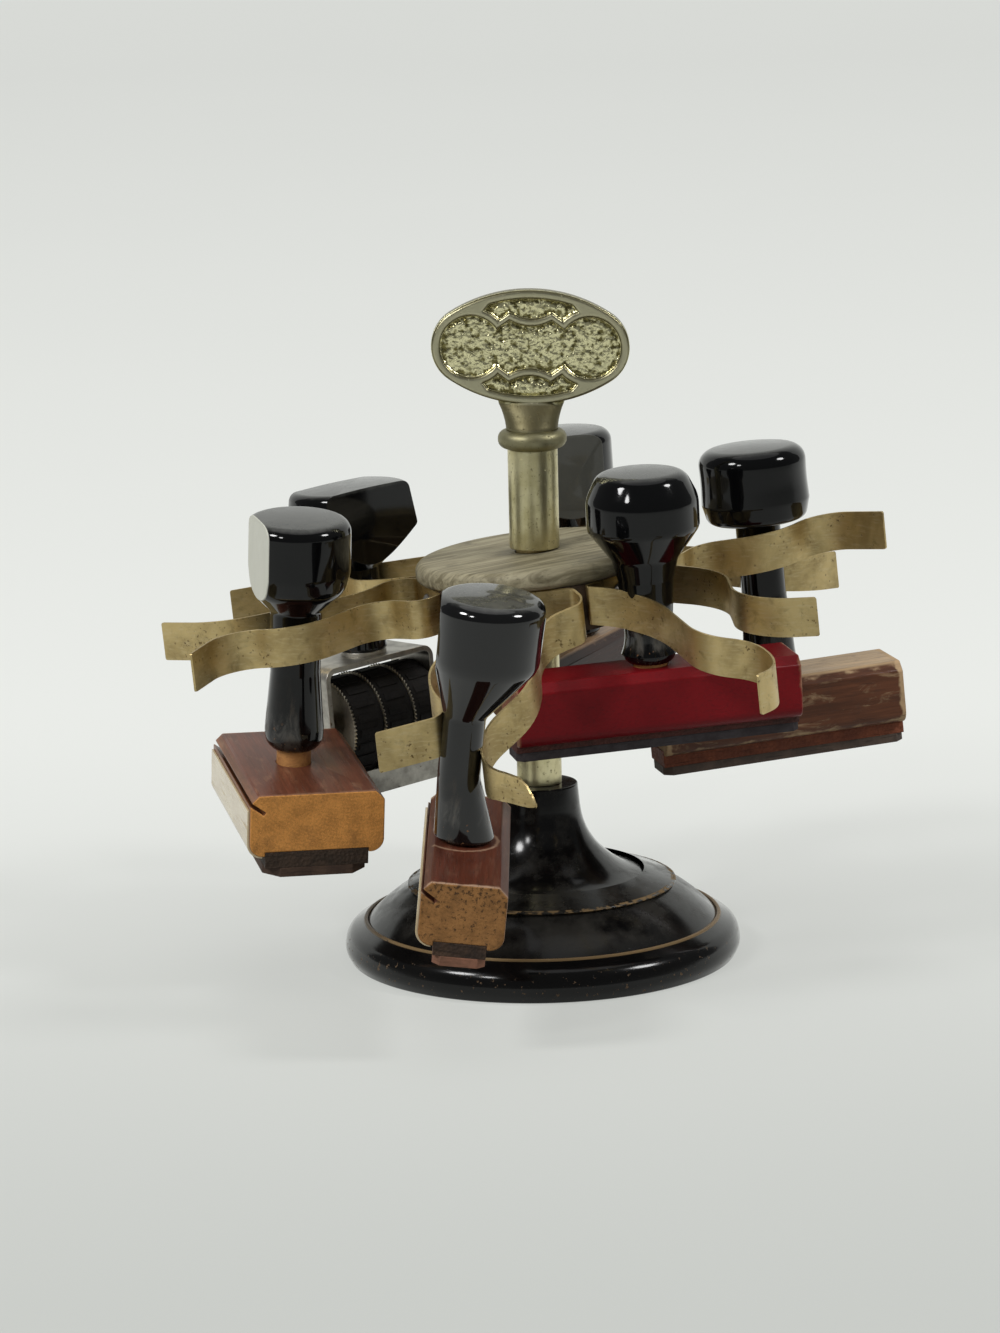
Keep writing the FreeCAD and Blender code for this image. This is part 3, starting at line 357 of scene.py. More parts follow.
# %% Wood of a block
def block_wood(name, place, length, width, height, top, side, end, edge, worn=0.4, gloss=0.28, specks=0.0,
               scuffs=0.0, ring=None):
    f = Finish(name, Specular_IOR_Level=0.18, Coat_Roughness=0.2)
    p = f.inside(place)
    x, y, z = (f.part(p, axis) for axis in "XYZ")
    fibre = f.noise(f.stretch(p, 0.06, 1, 1), 0.9, 5, 0.62)
    flame = f.noise(f.stretch(p, 0.10, 1, 1), 5.0, 4, 0.55, 1.2)
    rings = f.node("ShaderNodeTexWave", {"wave_type": "RINGS", "rings_direction": "X"}, sockets={
        "Vector": f.vector("ADD", f.stretch(p, 0.02, 1, 1), (0, width * 0.3, -height * 2.2)), "Scale": 0.30,
        "Distortion": 3.0, "Detail": 3.0, "Detail Scale": 0.3})
    pores = f.soft(f.noise(f.stretch(p, 0.05, 1, 1), 0.45, 3), 0.60, 0.72)
    at_end = f.soft(abs(x), length / 2 - 0.30, length / 2 - 0.08)
    at_top = f.soft(z, height - 0.9, height - 0.25)
    rub_y = f.soft(abs(y) + f.noise(p, 5, 4) * 2.6, width / 2 - 0.9, width / 2 + 1.0)
    rub_z = f.soft(abs(z - height / 2) + f.noise(p, 4, 4) * 2.4, height / 2 - 0.7, height / 2 + 1.1)
    rub_x = f.soft(abs(x) + f.noise(p, 4, 4) * 2.4, length / 2 - 1.0, length / 2 + 0.9)
    rubbed = (rub_y * rub_z + rub_x * rub_z + rub_x * rub_y) * worn * 2
    grain = fibre * 0.55 + flame * 0.45
    tone = f.soft(grain, 0.36, 0.66)
    dark = dim(side, 0.52)
    colour = f.blend(tone, dark, side)
    colour = f.blend(at_top, colour, f.blend(tone, dim(top, 0.60), top))
    mottle = f.soft(rings * 0.03 + f.noise(p, 0.55, 4, 0.75) * 0.55 + f.noise(p, 4, 3) * 0.42, 0.36, 0.62)
    end_grain = f.blend(mottle, dim(end, 0.6), end)
    if specks:
        pitted = f.noise(p, 1.1, 5, 0.75) + f.soft(z, height * 0.4, height) * 0.05
        holes = f.soft(pitted, 0.62 - specks * 0.09, 0.64)
        end_grain = f.blend(holes * 0.85, end_grain, (0.035, 0.02, 0.012))
    colour = f.blend(at_end, colour, end_grain)
    colour = f.blend(f.soft(rubbed, 0.15, 0.9) * (1 - at_end), colour, edge)
    colour = f.blend(pores * 0.5 * (1 - at_end), colour, dim(side, 0.35))
    streak = f.soft(f.noise(f.stretch(p, 0.28, 1, 1), 3.2, 5, 0.68, 0.6), 0.53, 0.70) * (1 - at_end)
    colour = f.blend(streak * scuffs, colour, edge)
    if ring:
        across, along, radius = ring
        aside = f.stretch(f.vector("SUBTRACT", p, (across, along, 0)), 1, 1, 0)
        off = abs(f.vector("LENGTH", aside, None) - radius)
        worn_ring = (1 - f.soft(off + f.noise(p, 1.2, 3), 0.5, 1.3)) * at_top
        colour = f.blend(worn_ring * 0.7, colour, edge)
    grime = f.patches(p, 7, 5, 0.52, 0.78, 0.65) * 0.4
    colour = f.blend(grime, colour, (0.055, 0.035, 0.025))
    rough = gloss + at_end * 0.35 + fibre * 0.12 + f.soft(rubbed, 0.2, 0.9) * 0.25 + grime * 0.15
    relief = fibre * 0.5 + pores * -0.6 + at_end * f.noise(p, 0.4, 3) * 1.2
    return f.feed(Base_Color=colour, Roughness=rough, Coat_Weight=0.13 - at_end * 0.13,
                  Normal=f.bump(relief, 0.12))


# %% [markdown]
# The top disc of the hub is bare wood gone grey, with long straight grain across its face and dirt
# rubbed in near the stem. The drum below is the same wood, darker, because it is always shaded and
# stained by the clips.

# %% Wood of the hub and of the pegs
def hub_wood(name, light, dark, place, gloss=0.5):
    f = Finish(name, Specular_IOR_Level=0.3)
    p = f.inside(place)
    bands = f.noise(f.stretch(p, 0.09, 1, 0.7), 2.6, 5, 0.6, 1.0)
    fibre = f.noise(f.stretch(p, 0.05, 1, 1), 0.7, 4, 0.65)
    radius = f.vector("LENGTH", f.stretch(p, 1, 1, 0), None)
    turning = f.noise(f.node("ShaderNodeCombineXYZ", {}, radius, f.part(p, "Z"), 0.0), 0.8, 3)
    handled = 1 - f.soft(radius + f.noise(p, 6, 4) * 8, 9, 19)
    dirt = (handled + f.patches(p, 9, 5, 0.55, 0.8, 0.65)) * 0.6
    colour = f.blend(f.soft(bands, 0.33, 0.66), dark, light)
    colour = f.blend(f.soft(fibre, 0.52, 0.75) * 0.7, colour, dim(dark, 0.55))
    colour = f.blend(dirt, colour, dim(dark, 0.42))
    rough = gloss + fibre * 0.15 - dirt * 0.05
    return f.feed(Base_Color=colour, Roughness=rough,
                  Normal=f.bump(fibre * 0.8 + bands * 0.3 + turning * 0.35, 0.14))


# %% [markdown]
# ### Paint, rubber, celluloid and plated sheet
# The other pieces are simpler. The maroon block was sprayed over a coarse ground, so its gloss is
# broken by fine grit. Rubber is matt and stained by ink. The index strips are yellowed celluloid. The
# dater is plated sheet, dull and scratched.

# %% Maroon paint
def maroon(name, place, length):
    f = Finish(name, Specular_IOR_Level=0.12, Coat_Roughness=0.3)
    p = f.inside(place)
    x, z = f.part(p, "X"), f.part(p, "Z")
    cloud = f.noise(p, 12, 4)
    grit = f.noise(f.stretch(p, 0.5, 1, 1), 0.55, 4, 0.7)
    low = 1 - f.soft(z + f.noise(p, 1.6, 4) * 1.6, 0.7, 1.5)
    rub = f.soft(abs(x) + f.noise(p, 3, 4) * 2.2, length / 2 + 0.3, length / 2 + 1.4)
    specks = f.patches(p, 0.8, 4, 0.66, 0.72, 0.65)
    colour = f.blend(cloud, (0.150, 0.004, 0.007), (0.205, 0.006, 0.010))
    colour = f.blend(f.soft(grit, 0.48, 0.72) * 0.4, colour, (0.05, 0.005, 0.007))
    colour = f.blend(rub * 0.8, colour, (0.33, 0.18, 0.10))
    colour = f.blend(low * 0.85 + specks * 0.25, colour, (0.10, 0.045, 0.03))
    rough = 0.30 + grit * 0.18 + low * 0.3
    return f.feed(Base_Color=colour, Roughness=rough, Coat_Weight=0.07 - low * 0.07,
                  Normal=f.bump(grit * 0.8 + low * -0.6, 0.10))


# %% Rubber, sponge and ink
def rubber(name, place, colour_a, colour_b, rough_edge=0.0, type_rows=False):
    f = Finish(name, Specular_IOR_Level=0.25)
    p = f.inside(place)
    z = f.part(p, "Z")
    cloud = f.noise(p, 6, 5, 0.6)
    pores = f.cells(p, 0.9)
    layers = f.noise(f.stretch(p, 0.08, 0.08, 1.0), 0.55, 3)
    colour = f.blend(f.soft(cloud, 0.35, 0.7), colour_a, colour_b)
    colour = f.blend(f.soft(layers, 0.55, 0.68) * 0.6, colour, dim(colour_a, 0.45))
    relief = pores * (0.5 + rough_edge) + layers * 0.5
    if type_rows:
        rows = f.node("ShaderNodeTexBrick", {"offset": 0.37, "squash": 1.0}, output=1, sockets={
            "Vector": p, "Scale": 0.5, "Mortar Size": 0.12, "Mortar Smooth": 0.3, "Bias": 0.0,
            "Brick Width": 0.9, "Row Height": 1.3})
        relief = relief + (1 - rows) * 2.0 * (z < type_rows)
    return f.feed(Base_Color=colour, Roughness=0.62 + cloud * 0.2, Normal=f.bump(relief, 0.16))


# %% Celluloid and plated sheet
def celluloid(name, place):
    f = Finish(name, IOR=1.5, Coat_Roughness=0.12)
    p = f.inside(place)
    stain = f.noise(f.stretch(p, 0.5, 1, 1), 7, 5, 0.6)
    scratch = f.soft(f.noise(f.stretch(p, 0.03, 1, 1), 0.5, 3), 0.6, 0.7)
    foxing = f.patches(p, 2.2, 5, 0.60, 0.75, 0.65)
    colour = f.blend(f.soft(stain, 0.3, 0.7), (0.68, 0.57, 0.36), (0.52, 0.40, 0.22))
    colour = f.blend(foxing * 0.5, colour, (0.33, 0.22, 0.10))
    return f.feed(Base_Color=colour, Roughness=0.24 + scratch * 0.3, Coat_Weight=0.5 - scratch * 0.3,
                  Normal=f.bump(scratch * -0.5 + stain * 0.5, 0.06))


def plated(name, place, tint=(0.50, 0.48, 0.43), shade=(0.27, 0.255, 0.23)):
    f = Finish(name, IOR=1.5, Metallic=1.0)
    p = f.inside(place)
    cloud = f.noise(p, 6, 5, 0.6)
    brush = f.noise(f.stretch(p, 0.06, 1, 1), 0.6, 4, 0.6)
    rust = f.patches(p, 1.6, 5, 0.62, 0.72, 0.65)
    colour = f.blend(f.soft(cloud, 0.36, 0.68), tint, shade)
    colour = f.blend(brush * 0.3, colour, dim(tint, 1.3))
    colour = f.blend(rust * 0.7, colour, (0.11, 0.065, 0.035))
    return f.feed(Base_Color=colour, Roughness=0.34 + cloud * 0.18 + rust * 0.3,
                  Normal=f.bump(brush * 0.5 + rust * 0.5, 0.06))


# %% [markdown]
# ## Where the pieces are
# The hub sits five degrees out of level, and every clip and stamp is placed from it. Each stamp has a
# frame of its own: z up its handle and x along its block. The numbers are those of the drawing.

# %% Frames of hub, clips and stamps
def shift(x=0, y=0, z=0):
    return Matrix.Translation((x, y, z))


def turn(axis, degrees):
    return Matrix.Rotation(math.radians(degrees), 4, axis)


HUB = shift(z=106.0) @ turn("Y", -5.0)
SEAT_RADIUS = 29.4
BEARINGS = {"front_left": -76.0, "front": -8.0, "front_right": 48.0, "right": 104.0, "rear": 172.0,
            "rear_left": -131.0}
# Where each stamp stands in its clip's frame, its leans to the right and to the front, and its heading.
STANDS = {
    "front_left": ((36.7, 0.35, -1.9), (3.0, 5.5), 104.0),
    "front": ((48.6, -8.0, -21.6), (6.5, 5.5), 90.0),
    "front_right": ((11.0, -1.45, -1.2), (-2.0, 2.0), 13.0),
    "right": ((33.46, -0.3, 0.13), (-4.5, 0.0), 13.0),
    "rear": ((36.0, -0.1, -1.9), (-3.0, 0.0), 65.0),
    "rear_left": ((37.0, 0.0, -2.5), (-3.5, 0.0), 42.0),
}
KEY_PLACE = shift(z=166.4) @ turn("Y", 2.0)


def clip_place(name):
    return HUB @ turn("Z", BEARINGS[name] - 90) @ shift(x=SEAT_RADIUS)


def stamp_place(name):
    stand, (to_right, to_front), heading = STANDS[name]
    lean = turn("Y", to_right) @ turn("X", to_front) @ turn("Z", heading)
    return Matrix.Translation(clip_place(name) @ Vector(stand)) @ lean


for name in STANDS:
    print(name, "stands at", [round(c, 1) for c in stamp_place(name).translation])


# %% [markdown]
# ## Turned pieces
# Foot, stem, collar, disc and handles all come off a lathe. Blender's Screw modifier could spin their
# profiles, but a few handles have a knob off centre or a neck that turns into an oval. So a piece is
# stacked from rings instead: each ring has its own two radii, height and offset, and neighbouring
# rings are joined by quads. Corners of a profile are eased by short arcs first.

# %% Eased corners and stacked rings
def eased(profile, steps=7):
    """Replace each (x, y, rounding) corner by an arc of short steps."""
    points = []
    for i, (x, y, rounding) in enumerate(profile):
        corner = Vector((x, y))
        if not rounding:
            points.append(corner)
            continue
        toward = Vector(profile[i - 1][:2]) - corner
        onward = Vector(profile[(i + 1) % len(profile)][:2]) - corner
        toward.normalize()
        onward.normalize()
        half = toward.angle(onward) / 2
        centre = corner + (toward + onward).normalized() * (rounding / math.sin(half))
        start = corner + toward * (rounding / math.tan(half)) - centre
        end = corner + onward * (rounding / math.tan(half)) - centre
        sweep = start.angle_signed(end)
        for k in range(steps + 1):
            points.append(centre + Matrix.Rotation(-sweep * k / steps, 2) @ start)
    return points


def smooth(mesh, angle=32):
    for face in mesh.polygons:
        face.use_smooth = True
    mesh.set_sharp_from_angle(angle=math.radians(angle))


def piece(name, bm, finish, body, nodes, edge=0.0, angle=32):
    """Make an object of a mesh built in millimetres, finish it and let it ride on its body."""
    bmesh.ops.remove_doubles(bm, verts=bm.verts, dist=1e-4)
    bmesh.ops.recalc_face_normals(bm, faces=bm.faces)
    bmesh.ops.scale(bm, vec=(MM, MM, MM), verts=bm.verts)
    mesh = bpy.data.meshes.new(name)
    bm.to_mesh(mesh)
    bm.free()
    smooth(mesh, angle)
    mesh.materials.append(finish)
    made = bpy.data.objects.new(name, mesh)
    bpy.context.scene.collection.objects.link(made)
    if edge:
        bevel = made.modifiers.new("soft edge", "BEVEL")
        bevel.width = edge * MM
        bevel.segments = 2
        bevel.limit_method = "ANGLE"
        bevel.angle_limit = math.radians(angle)
        bevel.harden_normals = False
    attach(made, body)
    if nodes:
        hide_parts(*nodes)
    return made


def stack(bm, rings, place, turns=96, closed=False, teeth=0.0):
    """Join rings of (x radius, y radius, height, y offset) into a skin.

    A zero radius is a point, and teeth is how far every second point of a ring is pulled in.
    """
    rows = []
    for rx, ry, z, dy in rings:
        if rx < 1e-4:
            rows.append([bm.verts.new(place @ Vector((0, dy, z)))])
            continue
        row = []
        for k in range(turns):
            angle = 2 * math.pi * k / turns
            bite = 1 - (teeth / rx if k % 2 else 0)
            x, y = rx * bite * math.cos(angle), ry * bite * math.sin(angle) + dy
            row.append(bm.verts.new(place @ Vector((x, y, z))))
        rows.append(row)
    for low, high in zip(rows, rows[1:] + (rows[:1] if closed else [])):
        for k in range(turns):
            n = (k + 1) % turns
            corners = [low[k % len(low)], low[n % len(low)], high[n % len(high)], high[k % len(high)]]
            corners = [v for i, v in enumerate(corners) if v not in corners[:i]]
            if len(corners) > 2:
                bm.faces.new(corners)
    return bm


def turned(profile, place=Matrix(), turns=96, closed=False):
    rings = [(p.x, p.x, p.y, 0) for p in eased(profile)]
    return stack(bmesh.new(), rings, place, turns, closed)


def tube(bore, radius, low, high, ease):
    profile = [(bore, low, 0), (radius, low, ease), (radius, high, ease), (bore, high, 0)]
    return turned(profile, closed=True)


print("turning tools ready")


# %% [markdown]
# ### The foot
# One closed profile gives the whole casting: up the stepped rim, over the beads and the dome, up the
# neck, down the bore and back through the hollow. The rings of a 108 mm foot are seen close, so it
# gets more turns than a knob.

# %% Foot
FOOT_RADIUS, WELL_RADIUS, NECK_RADIUS, BOSS_RADIUS, BORE = 54.0, 48.4, 10.3, 10.5, 3.325
NECK_TOP, BOSS_BOTTOM, HOLLOW_TOP = 47.4, 11.0, 19.4
BEAD_HALF = 0.55


def bead(radius, height, rise):
    """Five corners of a half round bead that lies on a slope."""
    flank, shoulder = height + 0.76 * rise, BEAD_HALF - 0.1
    return [(radius + BEAD_HALF, height, 0), (radius + shoulder, flank, 0.15), (radius, height + rise, 0.3),
            (radius - shoulder, flank, 0.15), (radius - BEAD_HALF, height, 0)]


outer_profile = [
    (WELL_RADIUS, 0, 0), (52.4, 0, 0.8), (FOOT_RADIUS, 3.0, 4.6), (53.0, 8.0, 4.6), *bead(**LOW_BEAD),
    (40.0, 18.67, 54.0), *bead(**HIGH_BEAD), (22.3, 23.9, 19.0), (11.6, 33.0, 20.0),
    (NECK_RADIUS, NECK_TOP, 0.5),
]
inner_profile = [
    (BORE, NECK_TOP, 0), (BORE, BOSS_BOTTOM, 0), (BOSS_RADIUS, BOSS_BOTTOM, 0),
    (BOSS_RADIUS, HOLLOW_TOP, 0.8), (22.0, HOLLOW_TOP, 3.0), (36.0, 16.0, 3.0), (44.0, 10.4, 2.0),
    (WELL_RADIUS, 6.0, 1.0),
]
foot = piece("cast_foot", turned(outer_profile + inner_profile, turns=180, closed=True), japan(), "stand",
             ["base_casting"])
print("foot vertices:", len(foot.data.vertices))


# %% [markdown]
# ### Stem, sleeve and collar
# The stem is a tube with a barely broken edge. The key grows out of it: a round collar, then a neck
# that is round at the bottom and flat at the top, which two radii per ring describe well.

# %% Stem and sleeve
STEM_LOW, STEM_HIGH = 112.15, 139.2
nickel_plain = nickel("worn nickel", (0.68, 0.62, 0.37), (0.50, 0.44, 0.21), (0.80, 0.76, 0.54))
piece("stem", tube(3.2, 6.7, STEM_LOW, STEM_HIGH, 0.35), nickel_plain, "stand", ["stem_tube"])
sleeve_low, sleeve_high = (corner.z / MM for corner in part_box("lower_sleeve"))
piece("sleeve", tube(4.95, 6.05, sleeve_low, sleeve_high, 0.3), nickel_plain, "stand", ["lower_sleeve"])
print("sleeve from", round(sleeve_low, 2), "to", round(sleeve_high, 2))


# %% [markdown]
# ### Key head
# The key is a casting with a raised rim, two round fields joined by a waisted one, and a small field
# above and below. The relief is a height for each point of the oval. The rim's edge rolls off, and the
# ribs between the fields are rounded like a cord. The fields drop by 0.9 mm with soft walls to one
# hammered ground, a shallow moat runs along the walls, and a low oval button fills the lower field. One
# grid is bent round both faces.

# %% Relief of the key
HALF_WIDTH, HALF_HEIGHT, END_RADIUS, THICKNESS = 26.4, 15.3, 10.6, 5.6
RIM, WALL, POCKET, LOBE, CORD = 1.6, 1.7, 0.9, 8.4, 0.3
PANEL_HALF, PANEL_TALL, PANEL_DIP, LINK_END, LINK_FALL = 5.6, 7.4, 1.6, 9.5, 2.8
BUTTON_WIDE, BUTTON_TALL, BUTTON_LEVEL = 5.0, 1.7, -11.2
END_CENTRE = HALF_WIDTH - END_RADIUS
FLAT_RADIUS = (END_CENTRE ** 2 + HALF_HEIGHT ** 2 - END_RADIUS ** 2) / (2 * (HALF_HEIGHT - END_RADIUS))
DROP = FLAT_RADIUS - HALF_HEIGHT


def oval_depth(x, y):
    """Distance of a point inside the oval from its edge, which is made of four arcs."""
    x, y = abs(x), abs(y)
    if x * DROP > END_CENTRE * (y + DROP) and x > END_CENTRE / 2:
        return END_RADIUS - math.hypot(x - END_CENTRE, y)
    return FLAT_RADIUS - math.hypot(x, y + DROP)


def oval_reach(angle):
    """How far the edge of the oval lies from its middle in one direction."""
    low, high = 0.0, HALF_WIDTH + 1
    for _ in range(40):
        middle = (low + high) / 2
        if oval_depth(middle * math.cos(angle), middle * math.sin(angle)) > 0:
            low = middle
        else:
            high = middle
    return low


def step(value, low, high):
    t = max(0.0, min(1.0, (value - low) / (high - low)))
    return t * t * (3 - 2 * t)


def key_height(x, y, face):
    """Height of the key's face over its middle plane."""
    depth = oval_depth(x, y)
    ax, ay = abs(x), abs(y)
    lobe = math.hypot(ax - END_CENTRE, ay) - LOBE
    if ax < PANEL_HALF:
        tall = PANEL_TALL - PANEL_DIP + PANEL_DIP * (ax / PANEL_HALF) ** 2
    else:
        tall = PANEL_TALL - (ax - PANEL_HALF) / (LINK_END - PANEL_HALF) * LINK_FALL
    waist = ay - tall if ax < LINK_END else 9.0
    field = min(lobe, waist)
    middle = max(field, RIM - depth)
    outer = max(WALL - field, RIM + 0.5 - depth, ax - 12.6 + 0.8 * abs(ay - 9.7))
    sunk = max(1 - step(middle, -0.55, 0.05), 1 - step(outer, -0.55, 0.05))
    hammered = (noise.noise(Vector((x * 0.62, y * 0.62, face * 9.0)))
                + 0.7 * noise.noise(Vector((x * 1.3, y * 1.3, face * 5.0))))
    from_button = math.hypot(x / BUTTON_WIDE, (y - BUTTON_LEVEL) / BUTTON_TALL)
    button = 0.22 * (1 - step(from_button, 0.7, 1.0))
    moat = 0.24 * (1 - step(max(-middle, -outer), 0.5, 1.9))
    roll = 0.9 * (1 - math.sqrt(max(0.0, 1 - (1 - min(depth, 0.9) / 0.9) ** 2)))
    ridge = min(1.0, max(0.0, min(middle, outer)) / 0.8)
    crown = CORD * math.sqrt(1 - (1 - ridge) ** 2)
    return THICKNESS / 2 - CORD + crown - roll - sunk * (POCKET - CORD - button + moat + 0.2 * hammered)


# %% Key head
def key_head():
    bm = bmesh.new()
    spokes, circles = 300, 84
    angles = [2 * math.pi * k / spokes for k in range(spokes)]
    reaches = [oval_reach(a) for a in angles]
    edges = []
    for face in (1, -1):
        middle = bm.verts.new(KEY_PLACE @ Vector((0, -face * key_height(0, 0, face), 0)))
        rows = []
        for c in range(1, circles + 1):
            # The circles lie closer together towards the rim, where the relief is finest.
            share = 1 - (1 - (c / circles) ** 0.8) ** 1.05
            row = []
            for angle, reach in zip(angles, reaches):
                x, y = share * reach * math.cos(angle), share * reach * math.sin(angle)
                row.append(bm.verts.new(KEY_PLACE @ Vector((x, -face * key_height(x, y, face), y))))
            rows.append(row)
        for k in range(spokes):
            n = (k + 1) % spokes
            bm.faces.new((middle, rows[0][k], rows[0][n]))
            for low, high in zip(rows, rows[1:]):
                bm.faces.new((low[k], high[k], high[n], low[n]))
        edges.append(rows[-1])
    for k in range(spokes):
        n = (k + 1) % spokes
        bm.faces.new((edges[0][k], edges[1][k], edges[1][n], edges[0][n]))
    collar_top = STEM_HIGH + 5.0
    collar = [(5.9, STEM_HIGH, 0.5), (9.2, STEM_HIGH, 2.3), (9.2, collar_top, 2.3), (6.6, collar_top, 0.5)]
    rings = [(0, 0, STEM_HIGH, 0)] + [(p.x, p.x, p.y, 0) for p in eased(collar)]
    neck = ((6.9, 6.6, 144.3), (7.0, 6.1, 145.2), (7.2, 5.4, 146.6), (7.6, 4.7, 148.2), (8.1, 3.8, 149.8),
            (8.7, 3.0, 151.2), (9.0, 2.3, 152.4), (8.0, 1.6, 153.6))
    rings += [(rx, ry, z, 0) for rx, ry, z in neck] + [(0, 0, 154.4, 0)]
    return stack(bm, rings, Matrix())


nickel_key = nickel("worn nickel key with painted light", (0.30, 0.28, 0.165), (0.22, 0.195, 0.095), (0.42, 0.40, 0.28),
                    hollow=True)
key = piece("key_casting", key_head(), nickel_key, "stand", ["key_head"], angle=60)
print("key vertices:", len(key.data.vertices))


# %% [markdown]
# ## Pieces that only need soft edges
# Nuts, washers, the drum and the sheet parts of the dater have the right shape already. What gives
# away a computer model is a razor edge, so each is copied, its flat triangles are merged into faces
# again and a narrow bevel catches the light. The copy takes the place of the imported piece.

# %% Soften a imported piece
def soften(node, finish, edge=0.2, angle=30):
    source = frame["nodes"][node]
    bm = bmesh.new()
    bm.from_mesh(source.data)
    bmesh.ops.scale(bm, vec=(1 / MM, 1 / MM, 1 / MM), verts=bm.verts)
    bmesh.ops.remove_doubles(bm, verts=bm.verts, dist=2e-3)
    bmesh.ops.dissolve_limit(bm, angle_limit=math.radians(1.0), verts=bm.verts, edges=bm.edges)
    return piece("soft_" + node, bm, finish, source["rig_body"], [node], edge, angle)


steel = plated("dull steel", Matrix(), (0.40, 0.38, 0.35), (0.20, 0.18, 0.16))
for node, slot in (("centre_rod", "steel"), ("base_washer", "steel"), ("base_nut", "steel"),
                   ("thrust_washer", "nickel_brass")):
    soften(node, steel, 0.15)
drum_wood = hub_wood("drum wood", (0.085, 0.055, 0.032), (0.045, 0.028, 0.017), HUB)
soften("hub_drum", drum_wood, 0.3)
brass = spring_brass()
soften("hub_bush", brass, 0.12)
print("softened the fastenings and the drum")


# %% [markdown]
# ### Top disc
# The disc is turned with a fully rounded rim. Its place is the tilted hub frame, so the grain of its
# finish is fixed to the same frame.

# %% Top disc
disc_wood = hub_wood("disc wood", (0.36, 0.32, 0.21), (0.17, 0.145, 0.085), HUB @ turn("Z", 24))
DISC_RADIUS, DISC_BORE, DISC_THICKNESS = 32.0, 4.9, 5.4
disc_profile = [(DISC_BORE, 0, 0), (DISC_RADIUS, 0, 1.9), (DISC_RADIUS, DISC_THICKNESS, 2.4),
                (DISC_BORE, DISC_THICKNESS, 0)]
piece("top_disc", turned(disc_profile, HUB, 160, closed=True), disc_wood, "carousel", ["hub_disc"])
print("disc radius", DISC_RADIUS)


# %% [markdown]
# ## Spring clips
# Each clip is a single strip of brass, stood on edge, screwed to its seat in the middle and bent to a
# fork. In plan its line is a chain of straight legs and the largest arcs that fit between them. From
# the side its two arms may fall by different angles. The strip is built along that line with both its
# faces, and its tips have their corners taken off. A bend is written as shares of the clip's reach and
# of its spread, measured from the seat, and each arm as its fall in degrees and its bends.

# %% Strip along bend points
REACH, SPREAD, STRIP, HEIGHT, TIP = 66.0, 20.0, 0.6, 10.3, 0.6
SEAT_END, ROOT, LONGEST_STEP = 11.4, 14.0, 2.0
PLAIN_ARM = ((0.20, 0.88), (0.33, 0.83), (0.55, 0.33), (0.70, 0.38), (0.92, 1.00))
CLIPS = {
    "front_left": ((3.0, ((0.10, 0.86), (0.24, 0.16), (0.60, 1.01), (0.85, 0.14), (1.05, 1.15))),
                   (3.0, ((0.10, 0.94), (0.26, 0.42), (0.50, 0.455), (0.84, 0.42), (1.04, 1.25)))),
    "front": ((31.0, ((0.07, 0.90), (0.16, 0.22), (0.42, 0.36), (0.67, -0.36), (0.86, -0.25),
                      (0.98, 0.43))),
              (22.0, ((0.09, 0.91), (0.21, 0.56), (0.44, 1.05), (0.59, 0.99), (0.75, 0.62),
                      (0.84, 1.60)))),
    "front_right": ((7.0, ((0.19, 0.95), (0.33, 0.90), (0.53, 0.25), (0.70, 0.31), (0.82, 0.75))),
                    (13.0, ((0.09, 0.45), (0.29, 0.36), (0.64, 0.94), (0.82, 0.56), (0.97, 0.80),
                            (1.045, 1.10), (1.055, 1.49)))),
    "right": ((10.5, ((0.20, 0.86), (0.33, 0.83), (0.57, 0.31), (0.75, 0.46), (0.90, 0.86))),
              (-5.0, ((0.10, 0.70), (0.22, 0.29), (0.51, 0.83), (0.75, 0.14), (0.94, 1.10)))),
    "rear": ((3.0, PLAIN_ARM), (3.0, PLAIN_ARM)),
    "rear_left": ((4.0, ((0.20, 0.88), (0.33, 0.83), (0.55, 0.33), (0.70, 0.42), (0.93, 1.28))),
                  (4.0, PLAIN_ARM)),
}
# Where an arm is bent up and cut slanting: distance from its tip, then how far both edges rise.
RISE = {"front": ((0, -3.0, 7.0), (1.5, 0.6, 6.2), (4.5, 2.4, 5.6), (9, 2.2, 5.0), (13, 1.4, 3.8),
                  (18, 0.3, 1.0), (25, 0, 0))}


def between(table, where):
    """Values of a table's rows at a place between two of them."""
    for low, high in zip(table, table[1:]):
        if where <= high[0]:
            share = (where - low[0]) / (high[0] - low[0])
            return [a + (b - a) * share for a, b in zip(low[1:], high[1:])]
    return list(table[-1][1:])


def bend_line(corners, steps=9):
    """Line through corners, each rounded by the largest arc that leaves half of its legs free."""
    line = [corners[0]]
    for before, corner, after in zip(corners, corners[1:], corners[2:]):
        toward, onward = before - corner, after - corner
        reach = min(toward.length, onward.length) / 2
        half = toward.angle(onward) / 2
        if half > math.radians(89.5):
            continue
        centre = corner + (toward.normalized() + onward.normalized()).normalized() * (reach / math.cos(half))
        start = corner + toward.normalized() * reach - centre
        end = corner + onward.normalized() * reach - centre
        sweep = start.angle_signed(end)
        line += [centre + Matrix.Rotation(-sweep * k / steps, 2) @ start for k in range(steps + 1)]
    return line + [corners[-1]]


def clip_line(name):
    """Both arms seen from above, in short steps from the tip of one to the tip of the other."""
    corners = []
    for side, (_, bends) in zip((1, -1), CLIPS[name]):
        arm = [Vector((STRIP / 2, side * SEAT_END)), Vector((STRIP / 2, side * ROOT))]
        arm += [Vector((STRIP / 2 + u * REACH, side * v * SPREAD)) for u, v in bends]
        corners = arm[::-1] if side == 1 else corners + arm
    bent = bend_line(corners)
    line = []
    for a, b in zip(bent, bent[1:]):
        pieces = max(1, int((b - a).length / LONGEST_STEP)) if (b - a).length > 1e-3 else 0
        line += [a + (b - a) * k / pieces for k in range(pieces)]
    return line + [corners[-1]]


